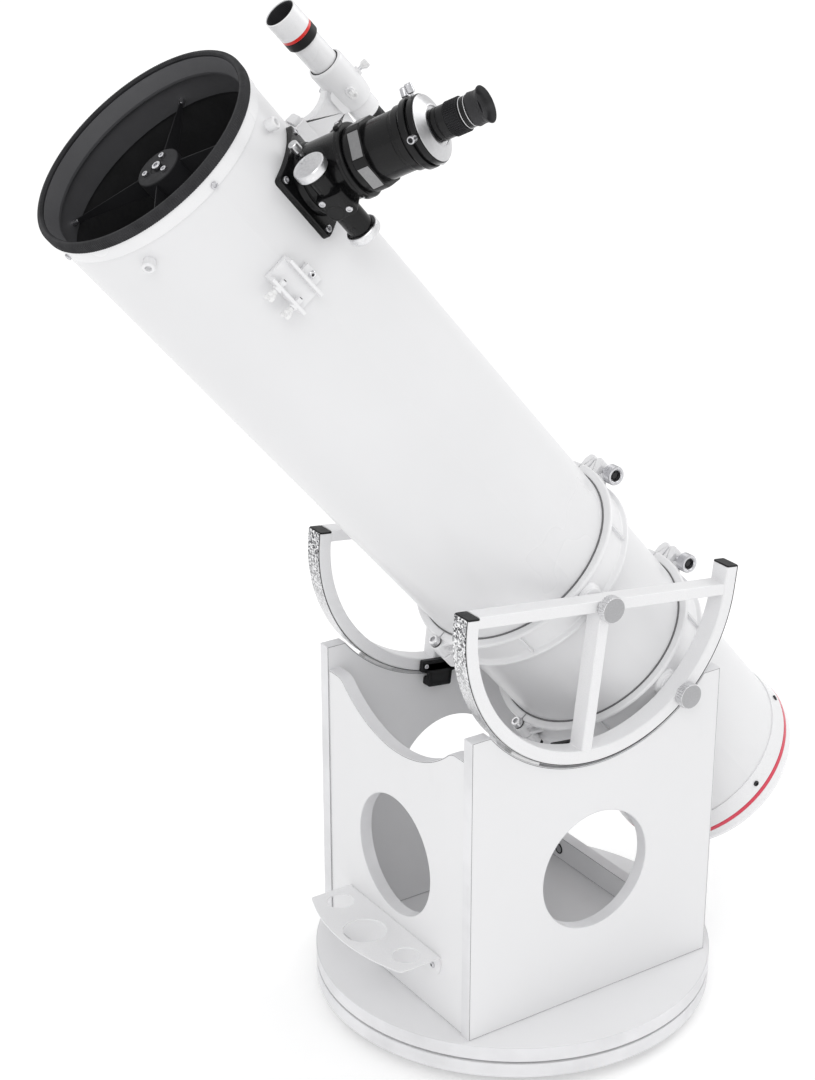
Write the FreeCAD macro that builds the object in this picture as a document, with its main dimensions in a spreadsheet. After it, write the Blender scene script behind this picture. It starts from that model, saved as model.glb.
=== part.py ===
"""Dobsonian telescope: a Newtonian tube in a cradle with side arcs, on a two-disc rocker base.

Millimetres. The origin is where the azimuth axis meets the floor, +Z is up, the altitude axis runs
along X, and the tube's open end points towards -Y and up.
"""
import FreeCAD, Part
import math
import os
import re
import Sketcher
from FreeCAD import Placement, Rotation, Vector

DIMENSIONS = {
    # base and azimuth bearing
    "board_radius": 245.0, "board_thickness": 18.0, "foot_height": 16.2, "foot_radius": 20.0,
    "foot_circle": 200.0, "bearing_gap": 3.3, "race_thickness": 0.4, "race_inner": 70.0,
    "race_outer": 110.0, "roller_radius": 1.0, "roller_length": 28.0, "cage_thickness": 1.0,
    "pivot_radius": 6.0, "bush_radius": 11.0, "running_gap": 0.05, "free_gap": 0.3,
    # rocker
    "panel_outer": 159.0, "panel_thickness": 16.0, "panel_half_depth": 177.0, "panel_top": 439.6,
    "axis_height": 560.6, "cradle_cut_radius": 194.0, "window_radius": 76.0, "window_height": 226.0,
    "front_inset": 1.5, "front_top": 410.0, "arch_radius": 169.0, "arch_height": 533.0,
    "stretcher_height": 33.5, "pad_angle": 33.0, "pad_span": 14.0, "pad_half_width": 7.0,
    "tray_half_width": 99.0, "tray_height": 137.0, "tray_depth": 56.0, "tray_bow": 20.0,
    "tray_thickness": 1.5, "tray_flange": 28.0, "tray_pitch": 72.0, "large_seat": 25.8,
    "small_seat": 16.3, "guide_reach": 208.0,
    # cradle
    "arc_radius": 189.0, "arc_depth": 16.0, "arc_inner_side": 137.0, "arc_outer_side": 163.0,
    "wall": 1.6, "front_rise": 6.8, "rear_rise": 30.0, "bar_top": 7.8, "bar_bottom": -6.2,
    "post_half": 7.25, "strip_thickness": 1.0, "cap_thickness": 2.2, "frame_tilt": -6.8,
    "ring_spacing": 182.0, "ring_half_width": 21.5, "liner_thickness": 1.4, "web_thickness": 4.5,
    "flange_radius": 133.0, "flange_thickness": 4.0, "clamp_radius": 142.6, "hinge_radius": 138.0,
    "knuckle_radius": 8.0,
    "knob_radius": 15.5, "knob_face": 176.0, "knob_depth": 12.0, "stud_radius": 4.0,
    # optical tube
    "tube_altitude": 48.9, "tube_radius": 121.0, "tube_wall": 1.5, "tube_front": 676.0,
    "tube_rear": -412.0, "rim": 702.0, "front_ring_radius": 122.5, "spider_place": 658.0,
    "hub_radius": 24.0, "secondary_radius": 27.0, "mirror_radius": 101.5, "mirror_thickness": 25.0,
    "mirror_face": -394.0, "focal_length": 1218.0, "cell_radius": 126.6, "cell_end": -466.0,
    "collimation_circle": 80.0,
    # focuser
    "focuser_place": 588.0, "focuser_angle": 42.0, "drawtube_radius": 30.0, "drawtube_bore": 25.6,
    "barrel_radius": 34.0, "barrel_end": 180.0, "base_top": 129.0, "base_half": 40.0,
    "plate_thickness": 6.0, "shaft_radius": 3.0, "shaft_offset": 33.5, "shaft_level": 151.3,
    "focus_knob_radius": 17.0, "near_knob": 30.6, "far_knob": 48.2, "focus_knob_depth": 9.0,
    "housing_radius": 13.3, "neck_radius": 10.8, "flange_reach": 36.0, "flange_flat": 33.0,
    "flange_width": 15.0, "tension_level": 135.0, "tension_offset": -4.0,
    "holder_start": 238.0, "holder_end": 260.0, "eyepiece_radius": 15.85, "eyepiece_end": 320.0,
    # finder and shoes
    "finder_place": 592.0, "finder_angle": 85.6, "finder_level": 192.8, "finder_pitch": -2.6,
    "finder_radius": 15.0, "shield_radius": 17.4, "bracket_radius": 19.2, "bracket_bore": 16.4,
    "shield_end": 98.5, "shoe_place": 574.0,
    "shoe_half_length": 26.0, "shoe_half_width": 14.0, "shoe_height": 16.0, "shoe_wall": 3.6,
    "shoe_ear": 25.0, "accessory_place": 550.0,
    "accessory_angle": -4.0,
}

ROLLERS = 24
FLAT_TURN = 2
PANEL_SIDES = (("left", -1), ("right", 1))

doc = FreeCAD.newDocument("telescope")
sheet = doc.addObject("Spreadsheet::Sheet", "size")
for row, (alias, number) in enumerate(DIMENSIONS.items(), start=1):
    sheet.set("A%d" % row, alias)
    sheet.set("B%d" % row, "%g" % number)
    sheet.setAlias("B%d" % row, alias)
doc.recompute()

nodes = []


# ---------------------------------------------------------------- expressions and frames
def expression(text):
    """The text with each dimension's name turned into a reference to the sheet."""
    return re.sub(r"[a-z][a-z_]*", lambda m: "size." + m[0] if m[0] in DIMENSIONS else m[0], str(text))


def value(text):
    """The number that an expression on the sheet has now."""
    return float(sheet.evalExpression(expression(text)))


def bind(item, name, text):
    item.setExpression(name, expression(text))


def turn(axis, degrees):
    return Placement(Vector(0, 0, 0), Rotation(axis, degrees))


AXIS_X = Vector(1, 0, 0)
AXIS_Y = Vector(0, 1, 0)
AXIS_Z = Vector(0, 0, 1)
WORLD = Placement()
ALTITUDE_POINT = Placement(Vector(0, 0, value("axis_height")), Rotation())
# the cradle's side frames: their bar lies along Y, tilted with its front end raised
CRADLE = ALTITUDE_POINT * turn(AXIS_X, value("frame_tilt"))
# the tube: +Z runs along it to the open end, +X is the telescope's +X
TUBE = ALTITUDE_POINT * turn(AXIS_X, 90 - value("tube_altitude"))


def around_tube(place, degrees):
    """A frame on the tube's axis whose +X points straight out of the tube at that angle."""
    return TUBE * Placement(Vector(0, 0, value(place)), Rotation(AXIS_Z, value(degrees)))


FOCUSER = around_tube("focuser_place", "focuser_angle")
FINDER_SHOE = around_tube("shoe_place", "finder_angle")
FINDER = around_tube("finder_place", "finder_angle") * Placement(
    Vector(value("finder_level"), 0, 0), Rotation(AXIS_Y, value("finder_pitch")))
ACCESSORY = around_tube("accessory_place", "accessory_angle")


# ---------------------------------------------------------------- primitives and booleans
def cylinder(radius, start, end, axis="z", at=("0", "0"), angle=None, top=None):
    """A cylinder, or a cone with a top radius, along an axis from start to end."""
    kind = "Part::Cylinder" if top is None else "Part::Cone"
    item = doc.addObject(kind, "round")
    if top is None:
        bind(item, "Radius", radius)
    else:
        bind(item, "Radius1", radius)
        bind(item, "Radius2", top)
    if angle is not None:
        bind(item, "Angle", angle)
    bind(item, "Height", "(%s) - (%s)" % (end, start))
    spin = {"x": Rotation(AXIS_Y, 90), "y": Rotation(AXIS_X, -90), "z": Rotation()}[axis]
    item.Placement = Placement(Vector(0, 0, 0), spin)
    base = {"x": (start, at[0], at[1]), "y": (at[0], start, at[1]), "z": (at[0], at[1], start)}[axis]
    for name, text in zip("xyz", base):
        bind(item, "Placement.Base." + name, text)
    return item


def box(x, y, z):
    """A box between two ends along each axis."""
    item = doc.addObject("Part::Box", "block")
    for side, name, (low, high) in zip(("Length", "Width", "Height"), "xyz", (x, y, z)):
        bind(item, side, "(%s) - (%s)" % (high, low))
        bind(item, "Placement.Base." + name, low)
    return item


def fuse(*items):
    item = doc.addObject("Part::MultiFuse", "fused")
    item.Shapes = list(items)
    return item


def cut(base, *tools):
    item = doc.addObject("Part::Cut", "cut")
    item.Base = base
    item.Tool = tools[0] if len(tools) == 1 else fuse(*tools)
    return item


def common(*items):
    item = doc.addObject("Part::MultiCommon", "common")
    item.Shapes = list(items)
    return item


def group(*items):
    item = doc.addObject("Part::Compound", "group")
    item.Links = list(items)
    return item


def placed(item, frame):
    """The item inside a holder that carries a frame of its own."""
    holder = group(item)
    holder.Placement = frame
    return holder


def mirrored(item):
    """The item reflected to the other side of the X = 0 plane."""
    mirror = doc.addObject("Part::Mirroring", "mirror")
    mirror.Source = item
    mirror.Normal = AXIS_X
    mirror.Base = Vector(0, 0, 0)
    return mirror


def ring(outer, inner, start, end, axis="z", at=("0", "0")):
    return cut(cylinder(outer, start, end, axis, at), cylinder(inner, start, end, axis, at))


def part(name, item, frame=WORLD):
    """Registers an item as a sub-part, standing in its frame."""
    if item.TypeId in ("Part::Box", "Part::Cylinder", "Part::Cone"):
        item = group(item)
    item.Label = name
    item.Placement = frame
    nodes.append(item)
    return item


# ---------------------------------------------------------------- sketches and bodies
def new_sketch(body, plane, offset="0"):
    flat = [item for item in body.Origin.OriginFeatures if item.Role == plane + "_Plane"][0]
    sketch = body.newObject("Sketcher::SketchObject", "Sketch")
    sketch.AttachmentSupport = [(flat, "")]
    sketch.MapMode = "FlatFace"
    bind(sketch, "AttachmentOffset.Base.z", offset)
    return sketch


def fix_point(sketch, shape, point, x, y):
    """Holds a sketch point at a place given by two expressions."""
    for text, kind, axis in ((x, "DistanceX", -2), (y, "DistanceY", -1)):
        if text == "0":
            sketch.addConstraint(Sketcher.Constraint("PointOnObject", shape, point, axis))
        else:
            number = sketch.addConstraint(Sketcher.Constraint(kind, -1, 1, shape, point, value(text)))
            bind(sketch, "Constraints[%d]" % number, text)


def draw_outline(sketch, points):
    """A closed outline of straight edges; each point is a pair of expressions."""
    spots = [Vector(value(x), value(y), 0) for x, y in points]
    first = sketch.GeometryCount
    count = len(points)
    for index in range(count):
        sketch.addGeometry(Part.LineSegment(spots[index], spots[(index + 1) % count]), False)
    for index in range(count):
        after = first + (index + 1) % count
        sketch.addConstraint(Sketcher.Constraint("Coincident", first + index, 2, after, 1))
    for index, (x, y) in enumerate(points):
        fix_point(sketch, first + index, 1, x, y)


def draw_circle(sketch, x, y, radius):
    centre = Vector(value(x), value(y), 0)
    shape = sketch.addGeometry(Part.Circle(centre, AXIS_Z, value(radius)), False)
    fix_point(sketch, shape, 3, x, y)
    number = sketch.addConstraint(Sketcher.Constraint("Radius", shape, value(radius)))
    bind(sketch, "Constraints[%d]" % number, radius)


def rectangle(low_x, high_x, low_y, high_y):
    return [(low_x, low_y), (high_x, low_y), (high_x, high_y), (low_x, high_y)]


def plate(name, plane, start, thickness, outline=None, circles=(), cuts=(), frame=WORLD):
    """A board or sheet padded from its outline, with holes, and round cuts across its edge."""
    body = doc.addObject("PartDesign::Body", "Body")
    sketch = new_sketch(body, plane, start)
    if outline:
        draw_outline(sketch, outline)
    for circle in circles:
        draw_circle(sketch, *circle)
    pad = body.newObject("PartDesign::Pad", "Pad")
    pad.Profile = sketch
    bind(pad, "Length", thickness)
    doc.recompute()
    for circle in cuts:
        before = body.Shape.Volume
        tool = new_sketch(body, plane, start)
        draw_circle(tool, *circle)
        pocket = body.newObject("PartDesign::Pocket", "Pocket")
        pocket.Profile = tool
        pocket.Type = "ThroughAll"
        pocket.SideType = "Symmetric"
        doc.recompute()
        if body.Shape.Volume >= before:
            raise RuntimeError("a pocket in %s cuts nothing" % name)
    return part(name, body, frame)


def turned_body(profile, angle="360"):
    """A body turned about +Z from a profile of (radius, height) expressions."""
    body = doc.addObject("PartDesign::Body", "Body")
    sketch = new_sketch(body, "XZ")
    draw_outline(sketch, profile)
    feature = body.newObject("PartDesign::Revolution", "Revolution")
    feature.Profile = sketch
    feature.ReferenceAxis = (sketch, ["V_Axis"])
    bind(feature, "Angle", angle)
    doc.recompute()
    return body


def turned(name, profile, frame=WORLD):
    return part(name, turned_body(profile), frame)


# ---------------------------------------------------------------- base and azimuth bearing
GROUND_TOP = "foot_height + board_thickness"
ROCKER_FLOOR = GROUND_TOP + " + bearing_gap"
ROCKER_TOP = ROCKER_FLOOR + " + board_thickness"
ROLLER_LEVEL = GROUND_TOP + " + bearing_gap / 2"
FOOT_ANGLES = (30, 150, 270)


def make_base():
    plate("ground_board", "XY", "foot_height", "board_thickness",
          circles=[("0", "0", "board_radius"), ("0", "0", "pivot_radius + running_gap")])
    feet = []
    for angle in FOOT_ANGLES:
        spot = ("foot_circle * cos(%d)" % angle, "foot_circle * sin(%d)" % angle)
        feet.append(cylinder("foot_radius - 3", "0", "foot_height", "z", spot, top="foot_radius"))
    part("ground_feet", group(*feet))
    part("lower_bearing_race",
         ring("race_outer", "race_inner", GROUND_TOP, GROUND_TOP + " + race_thickness"))
    # a carriage bolt comes up through both boards, with its domed head in the space over the floor
    part("pivot_bolt", fuse(cylinder("8", "foot_height - 4.5", "foot_height", top="14"),
                            cylinder("pivot_radius", "foot_height - 0.5", ROCKER_TOP + " + 15")))
    washer = ring("17", "pivot_radius + running_gap", ROCKER_TOP + " + free_gap",
                  ROCKER_TOP + " + 2.3")
    flats = [placed(box(("-9.5", "9.5"), ("-12", "12"), (ROCKER_TOP + " + 2.3", ROCKER_TOP + " + 13")),
                    turn(AXIS_Z, angle)) for angle in (0, 60, 120)]
    nut = cut(common(*flats), cylinder("pivot_radius + running_gap", ROCKER_TOP, ROCKER_TOP + " + 15"))
    part("pivot_nut", group(washer, nut))


def make_bearing():
    """Steel rollers in a thin cage turn between two races, at half the rocker's speed."""
    middle = "(race_outer + race_inner) / 2"
    rollers = []
    slots = []
    for index in range(ROLLERS):
        spin = turn(AXIS_Z, 360.0 / ROLLERS * index)
        ends = (middle + " - roller_length / 2", middle + " + roller_length / 2")
        rollers.append(placed(cylinder("roller_radius", ends[0], ends[1], "x", ("0", ROLLER_LEVEL)), spin))
        slots.append(placed(box((ends[0] + " - 0.4", ends[1] + " + 0.4"),
                                ("-roller_radius - 0.2", "roller_radius + 0.2"),
                                (GROUND_TOP, ROCKER_FLOOR)), spin))
    part("azimuth_rollers", group(*rollers))
    sheet_metal = ring("race_outer - 2", "race_inner + 2", ROLLER_LEVEL + " - cage_thickness / 2",
                       ROLLER_LEVEL + " + cage_thickness / 2")
    part("azimuth_cage", cut(sheet_metal, *slots))


# ---------------------------------------------------------------- rocker
def make_side_panels():
    outline = rectangle("-panel_half_depth", "panel_half_depth", ROCKER_TOP, "panel_top")
    for side, sign in PANEL_SIDES:
        start = "panel_outer - panel_thickness" if sign > 0 else "-panel_outer"
        plate("side_panel_" + side, "YZ", start, "panel_thickness", outline,
              circles=[("0", "window_height", "window_radius")],
              cuts=[("0", "axis_height", "cradle_cut_radius")])


def make_cross_boards():
    inside = "panel_outer - panel_thickness"
    # boards drawn on the XZ plane are padded towards -Y
    plate("front_panel", "XZ", "panel_half_depth - front_inset - panel_thickness", "panel_thickness",
          rectangle("-(%s)" % inside, inside, ROCKER_TOP, "front_top"),
          circles=[("0", "window_height", "window_radius")],
          cuts=[("0", "arch_height", "arch_radius")])
    plate("rear_stretcher", "XZ", "-panel_half_depth + front_inset", "panel_thickness",
          rectangle("-(%s)" % inside, inside, ROCKER_TOP, ROCKER_TOP + " + stretcher_height"))


def make_rocker_fittings():
    plate("rotating_board", "XY", ROCKER_FLOOR, "board_thickness",
          circles=[("0", "0", "board_radius"), ("0", "0", "bush_radius")])
    part("upper_bearing_race",
         ring("race_outer", "race_inner", ROCKER_FLOOR + " - race_thickness", ROCKER_FLOOR))
    part("pivot_bush", ring("bush_radius", "pivot_radius + running_gap", ROCKER_FLOOR, ROCKER_TOP))
    # bearing pads line the cut-outs, and the cradle's arcs slide on them
    pads = []
    for _, sign in PANEL_SIDES:
        middle = "%d * (panel_outer - panel_thickness / 2)" % sign
        for tilt in (-1, 1):
            start = 270 + tilt * value("pad_angle") - value("pad_span") / 2
            ends = (middle + " - pad_half_width", middle + " + pad_half_width")
            sector = cylinder("cradle_cut_radius", ends[0], ends[1], "x", angle="pad_span")
            inner = cylinder("arc_radius + strip_thickness + free_gap", ends[0], ends[1], "x")
            spin = ALTITUDE_POINT * turn(AXIS_X, start + 90)
            pads.append(placed(cut(sector, inner), spin))
    part("altitude_pads", group(*pads))


def make_tray():
    """A folded sheet: a bow-fronted shelf with three eyepiece seats and a flange turned down."""
    face = "-panel_half_depth + front_inset"
    depth = value("tray_depth")
    bow = value("tray_bow")
    half = value("tray_half_width")
    radius = (half * half + bow * bow) / (2 * bow)
    shelf = common(
        box(("-tray_half_width", "tray_half_width"), (face + " - tray_depth - tray_bow", face),
            ("tray_height - tray_thickness", "tray_height")),
        cylinder("%.3f" % radius, "tray_height - tray_thickness", "tray_height", "z",
                 ("0", "%s - %.3f" % (face, depth + bow - radius))))
    flange = box(("-tray_half_width", "tray_half_width"), (face + " - tray_thickness", face),
                 ("tray_height - tray_flange", "tray_height"))
    seats = []
    for place, seat, reach in ((-1, "small_seat", "31"), (0, "large_seat", "42"), (1, "small_seat", "31")):
        spot = ("%d * tray_pitch" % place, "%s - %s" % (face, reach))
        seats.append(cylinder(seat, "tray_height - 3", "tray_height + 3", "z", spot))
    part("accessory_tray", cut(fuse(shelf, flange), *seats))


def make_rocker_screws():
    """Pan-head screws hold the tray, and plugs cover the cams that join the boards."""
    face = "-panel_half_depth + front_inset - tray_thickness"
    rear = "panel_half_depth - front_inset - panel_thickness"
    screws = []
    for side in (-1, 1):
        screws.append(cylinder("4", face + " - 2.2", face, "y", ("%d * 84" % side, "tray_height - 17")))
        screws.append(cylinder("7.5", rear + " - 1.2", rear, "y", ("%d * 117" % side, "71")))
        for level in ("92", "378"):
            screws.append(cylinder("7.5", "-(%s)" % rear, "-(%s) + 1.2" % rear, "y",
                                   ("%d * 117" % side, level)))
    part("rocker_screws", group(*screws))


# ---------------------------------------------------------------- cradle
def arc_solid(outer, inner, near, far, front_top, rear_top):
    """Half a hoop below the altitude axis, with its two ends carried straight up."""
    hoop = cut(cylinder(outer, near, far, "x"), cylinder(inner, near, far, "x"),
               box((near + " - 1", far + " + 1"), ("-300", "300"), ("0", "300")))
    legs = [box((near, far), ("-(%s)" % outer, "-(%s)" % inner), ("-0.5", front_top)),
            box((near, far), (inner, outer), ("-0.5", rear_top))]
    return fuse(hoop, *legs)


def make_side_frame(sign):
    """A rectangular tube arc with a bar across it and a post down its middle, welded together."""
    near, far = "arc_inner_side", "arc_outer_side"
    bar_ends = ("-arc_radius + arc_depth", "arc_radius - arc_depth")
    outside = fuse(
        arc_solid("arc_radius", "arc_radius - arc_depth", near, far,
                  "front_rise - cap_thickness", "rear_rise - cap_thickness"),
        box((near + " + 1", far + " - 1"), bar_ends, ("bar_bottom", "bar_top")),
        box((near + " + 1", far + " - 1"), ("-post_half", "post_half"),
            ("-arc_radius + arc_depth - 0.5", "bar_bottom + 0.5")))
    inside = [
        arc_solid("arc_radius - wall", "arc_radius - arc_depth + wall", near + " + wall", far + " - wall",
                  "front_rise", "rear_rise"),
        box((near + " + 1 + wall", far + " - 1 - wall"), bar_ends, ("bar_bottom + wall", "bar_top - wall")),
        box((near + " + 1 + wall", far + " - 1 - wall"), ("-post_half + wall", "post_half - wall"),
            ("-arc_radius + arc_depth - 0.5", "bar_bottom + wall + 0.5"))]
    swing = "%s" % (value("tube_altitude") + value("frame_tilt"))
    rear_hole = ("ring_spacing * cos(%s)" % swing, "-ring_spacing * sin(%s)" % swing)
    holes = [cylinder("stud_radius + 0.2", near + " - 5", far + " + 5", "x", spot)
             for spot in (("0", "0"), rear_hole)]
    frame = cut(outside, *(inside + holes))
    return frame if sign > 0 else mirrored(frame)


def make_side_frames():
    strips = []
    caps = []
    for side, sign in PANEL_SIDES:
        part("side_frame_" + side, make_side_frame(sign), CRADLE)
        strip = arc_solid("arc_radius + strip_thickness", "arc_radius", "arc_inner_side", "arc_outer_side",
                          "front_rise", "rear_rise")
        strips.append(strip if sign > 0 else mirrored(strip))
        for low, high, top in (("-arc_radius", "-arc_radius + arc_depth", "front_rise"),
                               ("arc_radius - arc_depth", "arc_radius", "rear_rise")):
            cap = box(("arc_inner_side", "arc_outer_side"), (low, high), (top + " - cap_thickness", top))
            caps.append(cap if sign > 0 else mirrored(cap))
    part("bearing_strips", group(*strips), CRADLE)
    part("frame_caps", group(*caps), CRADLE)


def make_side_guides():
    """Blocks under the posts that ride on the panels' inner faces and keep the arcs in their cut-outs."""
    side = "arc_inner_side"
    blocks = []
    for _, sign in PANEL_SIDES:
        cheek = box((side + " - 7", side), ("-17", "17"), ("-guide_reach", "-arc_radius + 16"))
        ears = box((side + " - 4", side), ("-29", "29"), ("-arc_radius + 2", "-arc_radius + 17"))
        rubbing = box((side + " - 1", "panel_outer - panel_thickness - free_gap"), ("-17", "17"),
                      ("-guide_reach", "-cradle_cut_radius - 3"))
        screws = [cylinder("3.2", side + " - 6", side + " - 3.5", "x", ("%d" % shift, "-arc_radius + 9.5"))
                  for shift in (-23, 23)]
        block = fuse(cheek, ears, rubbing)
        blocks += [block if sign > 0 else mirrored(block)]
        blocks += [screw if sign > 0 else mirrored(screw) for screw in screws]
    part("side_guides", group(*blocks), CRADLE)


def half_ring(place, sign):
    """Half a cradle ring: a channel casting with a boss, a clamp lug and one knuckle of its hinge."""
    inner = "tube_radius + liner_thickness"
    web = inner + " + web_thickness"
    low = "%s - ring_half_width" % place
    high = "%s + ring_half_width" % place
    channel = turned_body([(inner, low), ("flange_radius", low),
                           ("flange_radius", low + " + flange_thickness"),
                           (web, low + " + flange_thickness"), (web, high + " - flange_thickness"),
                           ("flange_radius", high + " - flange_thickness"), ("flange_radius", high),
                           (inner, high)])
    boss = cylinder("13", web + " - 2", "arc_inner_side", "x", ("0", place))
    lug = fuse(box(("1", "15"), (inner + " + 1", "clamp_radius"), ("%s - 10" % place, "%s + 10" % place)),
               cylinder("10", "1", "15", "x", ("clamp_radius", place)))
    core = cut(fuse(channel, boss, lug),
               box(("-200", "1"), ("-200", "200"), (low + " - 1", high + " + 1")))
    # the knuckles of the two halves sit end to end on one pin
    pin = ("0", "-hinge_radius")
    spans = [("%s + 0.5" % place, high + " - 2"), (low + " + 2", "%s - 0.5" % place)]
    own, other = spans if sign > 0 else reversed(spans)
    core = cut(core, cylinder("knuckle_radius + 0.5", other[0] + " - 2.5", other[1] + " + 2.5", "z", pin))
    core = fuse(core, box(("1", "knuckle_radius + 1"), ("-hinge_radius", "-(%s) + 1" % web), own))
    if sign < 0:
        core = mirrored(core)
    knuckle = cylinder("knuckle_radius", own[0], own[1], "z", pin)
    hole_ends = ("110", "145") if sign > 0 else ("-145", "-110")
    return cut(fuse(core, knuckle),
               cylinder("stud_radius + 0.2", hole_ends[0], hole_ends[1], "x", ("0", place)),
               cylinder("3.4", "-30", "30", "x", ("clamp_radius", place)),
               cylinder("4", "%s - 40" % place, "%s + 40" % place, "z", pin))


RING_PLACES = ("0", "-ring_spacing")


def make_cradle_rings():
    for side, sign in PANEL_SIDES:
        part("cradle_half_" + side, group(*[half_ring(place, sign) for place in RING_PLACES]), TUBE)
    liners = [ring("tube_radius + liner_thickness", "tube_radius", "%s - ring_half_width - 1" % place,
                   "%s + ring_half_width + 1" % place) for place in RING_PLACES]
    part("ring_liners", group(*liners), TUBE)
    pins = []
    for place in RING_PLACES:
        at = ("0", "-hinge_radius")
        pins.append(fuse(cylinder("3.95", "%s - 28" % place, "%s + 22" % place, "z", at),
                         cylinder("6.5", "%s + 21.5" % place, "%s + 28" % place, "z", at),
                         cylinder("6.5", "%s - 27.5" % place, "%s - 21.5" % place, "z", at)))
    part("hinge_bolts", group(*pins), TUBE)


def make_cradle_screws():
    for name, place in zip(("front", "rear"), RING_PLACES):
        at = ("clamp_radius", place)
        head = cut(cylinder("11.5", "24", "38", "x", at), cylinder("7", "32", "39", "x", at))
        part("clamp_screw_" + name, fuse(cylinder("3.35", "-22", "25", "x", at),
                                         cylinder("6", "18", "24.5", "x", at), head), TUBE)
    knobs = []
    for _, sign in PANEL_SIDES:
        for place in RING_PLACES:
            at = ("0", place)
            knob = fuse(cylinder("knob_radius", "knob_face - knob_depth", "knob_face", "x", at),
                        cylinder("8", "arc_outer_side", "knob_face - knob_depth + 0.5", "x", at),
                        cylinder("stud_radius", "129", "knob_face - 1", "x", at))
            knobs.append(knob if sign > 0 else mirrored(knob))
    part("cradle_knobs", group(*knobs), TUBE)


# ---------------------------------------------------------------- optical tube
def make_tube():
    hole = placed(cylinder("drawtube_radius + 1.5", "100", "140", "x"),
                  Placement(Vector(0, 0, value("focuser_place")), Rotation(AXIS_Z, value("focuser_angle"))))
    shell = ring("tube_radius", "tube_radius - tube_wall", "tube_rear", "tube_front")
    part("optical_tube", cut(shell, hole), TUBE)
    sleeve = "tube_radius - tube_wall"
    turned("front_ring", [
        (sleeve + " - 2.5", "tube_front - 26"), (sleeve, "tube_front - 26"), (sleeve, "tube_front"),
        ("front_ring_radius", "tube_front"), ("front_ring_radius", "rim - 4"),
        ("tube_radius - 3.5", "rim - 4"),
        ("tube_radius - 9.5", "rim - 19"), ("tube_radius - 9.5", "rim - 22"),
        (sleeve + " - 2.5", "rim - 22")], TUBE)
    turned("rim_trim", [
        ("front_ring_radius", "rim - 11"), ("front_ring_radius + 1.7", "rim - 11"),
        ("front_ring_radius + 1.7", "rim - 1.5"), ("front_ring_radius + 0.2", "rim"),
        ("tube_radius - 2.3", "rim"), ("tube_radius - 3.5", "rim - 1.5"), ("tube_radius - 3.5", "rim - 4"),
        ("front_ring_radius", "rim - 4")], TUBE)
    turned("rear_ring", [
        (sleeve + " - 4", "tube_rear + 26"), (sleeve, "tube_rear + 26"), (sleeve, "tube_rear"),
        ("front_ring_radius", "tube_rear"), ("cell_radius", "tube_rear - 25"),
        ("cell_radius - 1.8", "tube_rear - 25.5"), ("cell_radius - 1.8", "tube_rear - 29.5"),
        ("cell_radius - 0.2", "tube_rear - 30"), ("cell_radius - 0.6", "tube_rear - 42"),
        ("cell_radius - 4.5", "cell_end + 3"), ("cell_radius - 9", "cell_end"),
        ("tube_radius - 9", "cell_end"),
        ("tube_radius - 9", "tube_rear - 24"), (sleeve + " - 4", "tube_rear - 20")], TUBE)


def radial_heads(radius, start, end, place, angles):
    """Round heads standing on the tube, one at each angle."""
    return [placed(cylinder(radius, start, end, "x", ("0", place)), turn(AXIS_Z, angle))
            for angle in angles]


def make_tube_screws():
    heads = radial_heads("3.6", "tube_radius - 4", "front_ring_radius + 2", "tube_front + 3.8",
                         (0, 90, 180, 270))
    heads += radial_heads("3.6", "tube_radius - 2", "cell_radius + 0.6", "tube_rear - 13",
                          (0, 60, 120, 180, 240, 300))
    part("tube_screws", group(*(heads + secondary_screws())), TUBE)


def make_mirror():
    blank = cylinder("mirror_radius", "mirror_face - mirror_thickness", "mirror_face")
    bowl = doc.addObject("Part::Sphere", "bowl")
    bind(bowl, "Radius", "2 * focal_length")
    bind(bowl, "Placement.Base.z",
         "mirror_face + sqrt(4 * focal_length ^ 2 - mirror_radius ^ 2) - 0.01")
    part("primary_mirror", cut(blank, bowl), TUBE)
    back = "mirror_face - mirror_thickness"
    posts = []
    for angle in (30, 150, 270):
        clip = fuse(box(("mirror_radius", "mirror_radius + 4"), ("-7", "7"), (back, "mirror_face + 3")),
                    box(("mirror_radius - 5", "mirror_radius + 4"), ("-7", "7"),
                        ("mirror_face + 0.6", "mirror_face + 3")))
        posts.append(placed(clip, turn(AXIS_Z, angle)))
    part("mirror_clips", group(*posts), TUBE)
    part("mirror_cell", ring("mirror_radius + 5", "30", back + " - 9", back), TUBE)
    frame_low, frame_high = "cell_end + 8", "cell_end + 15"
    arms = [placed(box(("30", "tube_radius - 8.5"), ("-14", "14"), (frame_low, frame_high)),
                   turn(AXIS_Z, angle)) for angle in (90, 210, 330)]
    holes = [placed(cylinder("3.4", "cell_end", "cell_end + 30", "z", ("collimation_circle", "0")),
                    turn(AXIS_Z, angle)) for angle in (90, 210, 330)]
    part("cell_frame", cut(fuse(ring("48", "22", frame_low, frame_high), *arms), *holes), TUBE)
    for number, angle in enumerate((90, 210, 330), start=1):
        at = ("collimation_circle", "0")
        screw = fuse(cylinder("3.35", "cell_end - 6", back + " - 9", "z", at),
                     cylinder("11", "cell_end - 8", "cell_end + 6", "z", at))
        part("collimation_screw_%d" % number, screw, TUBE * turn(AXIS_Z, angle))


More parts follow.
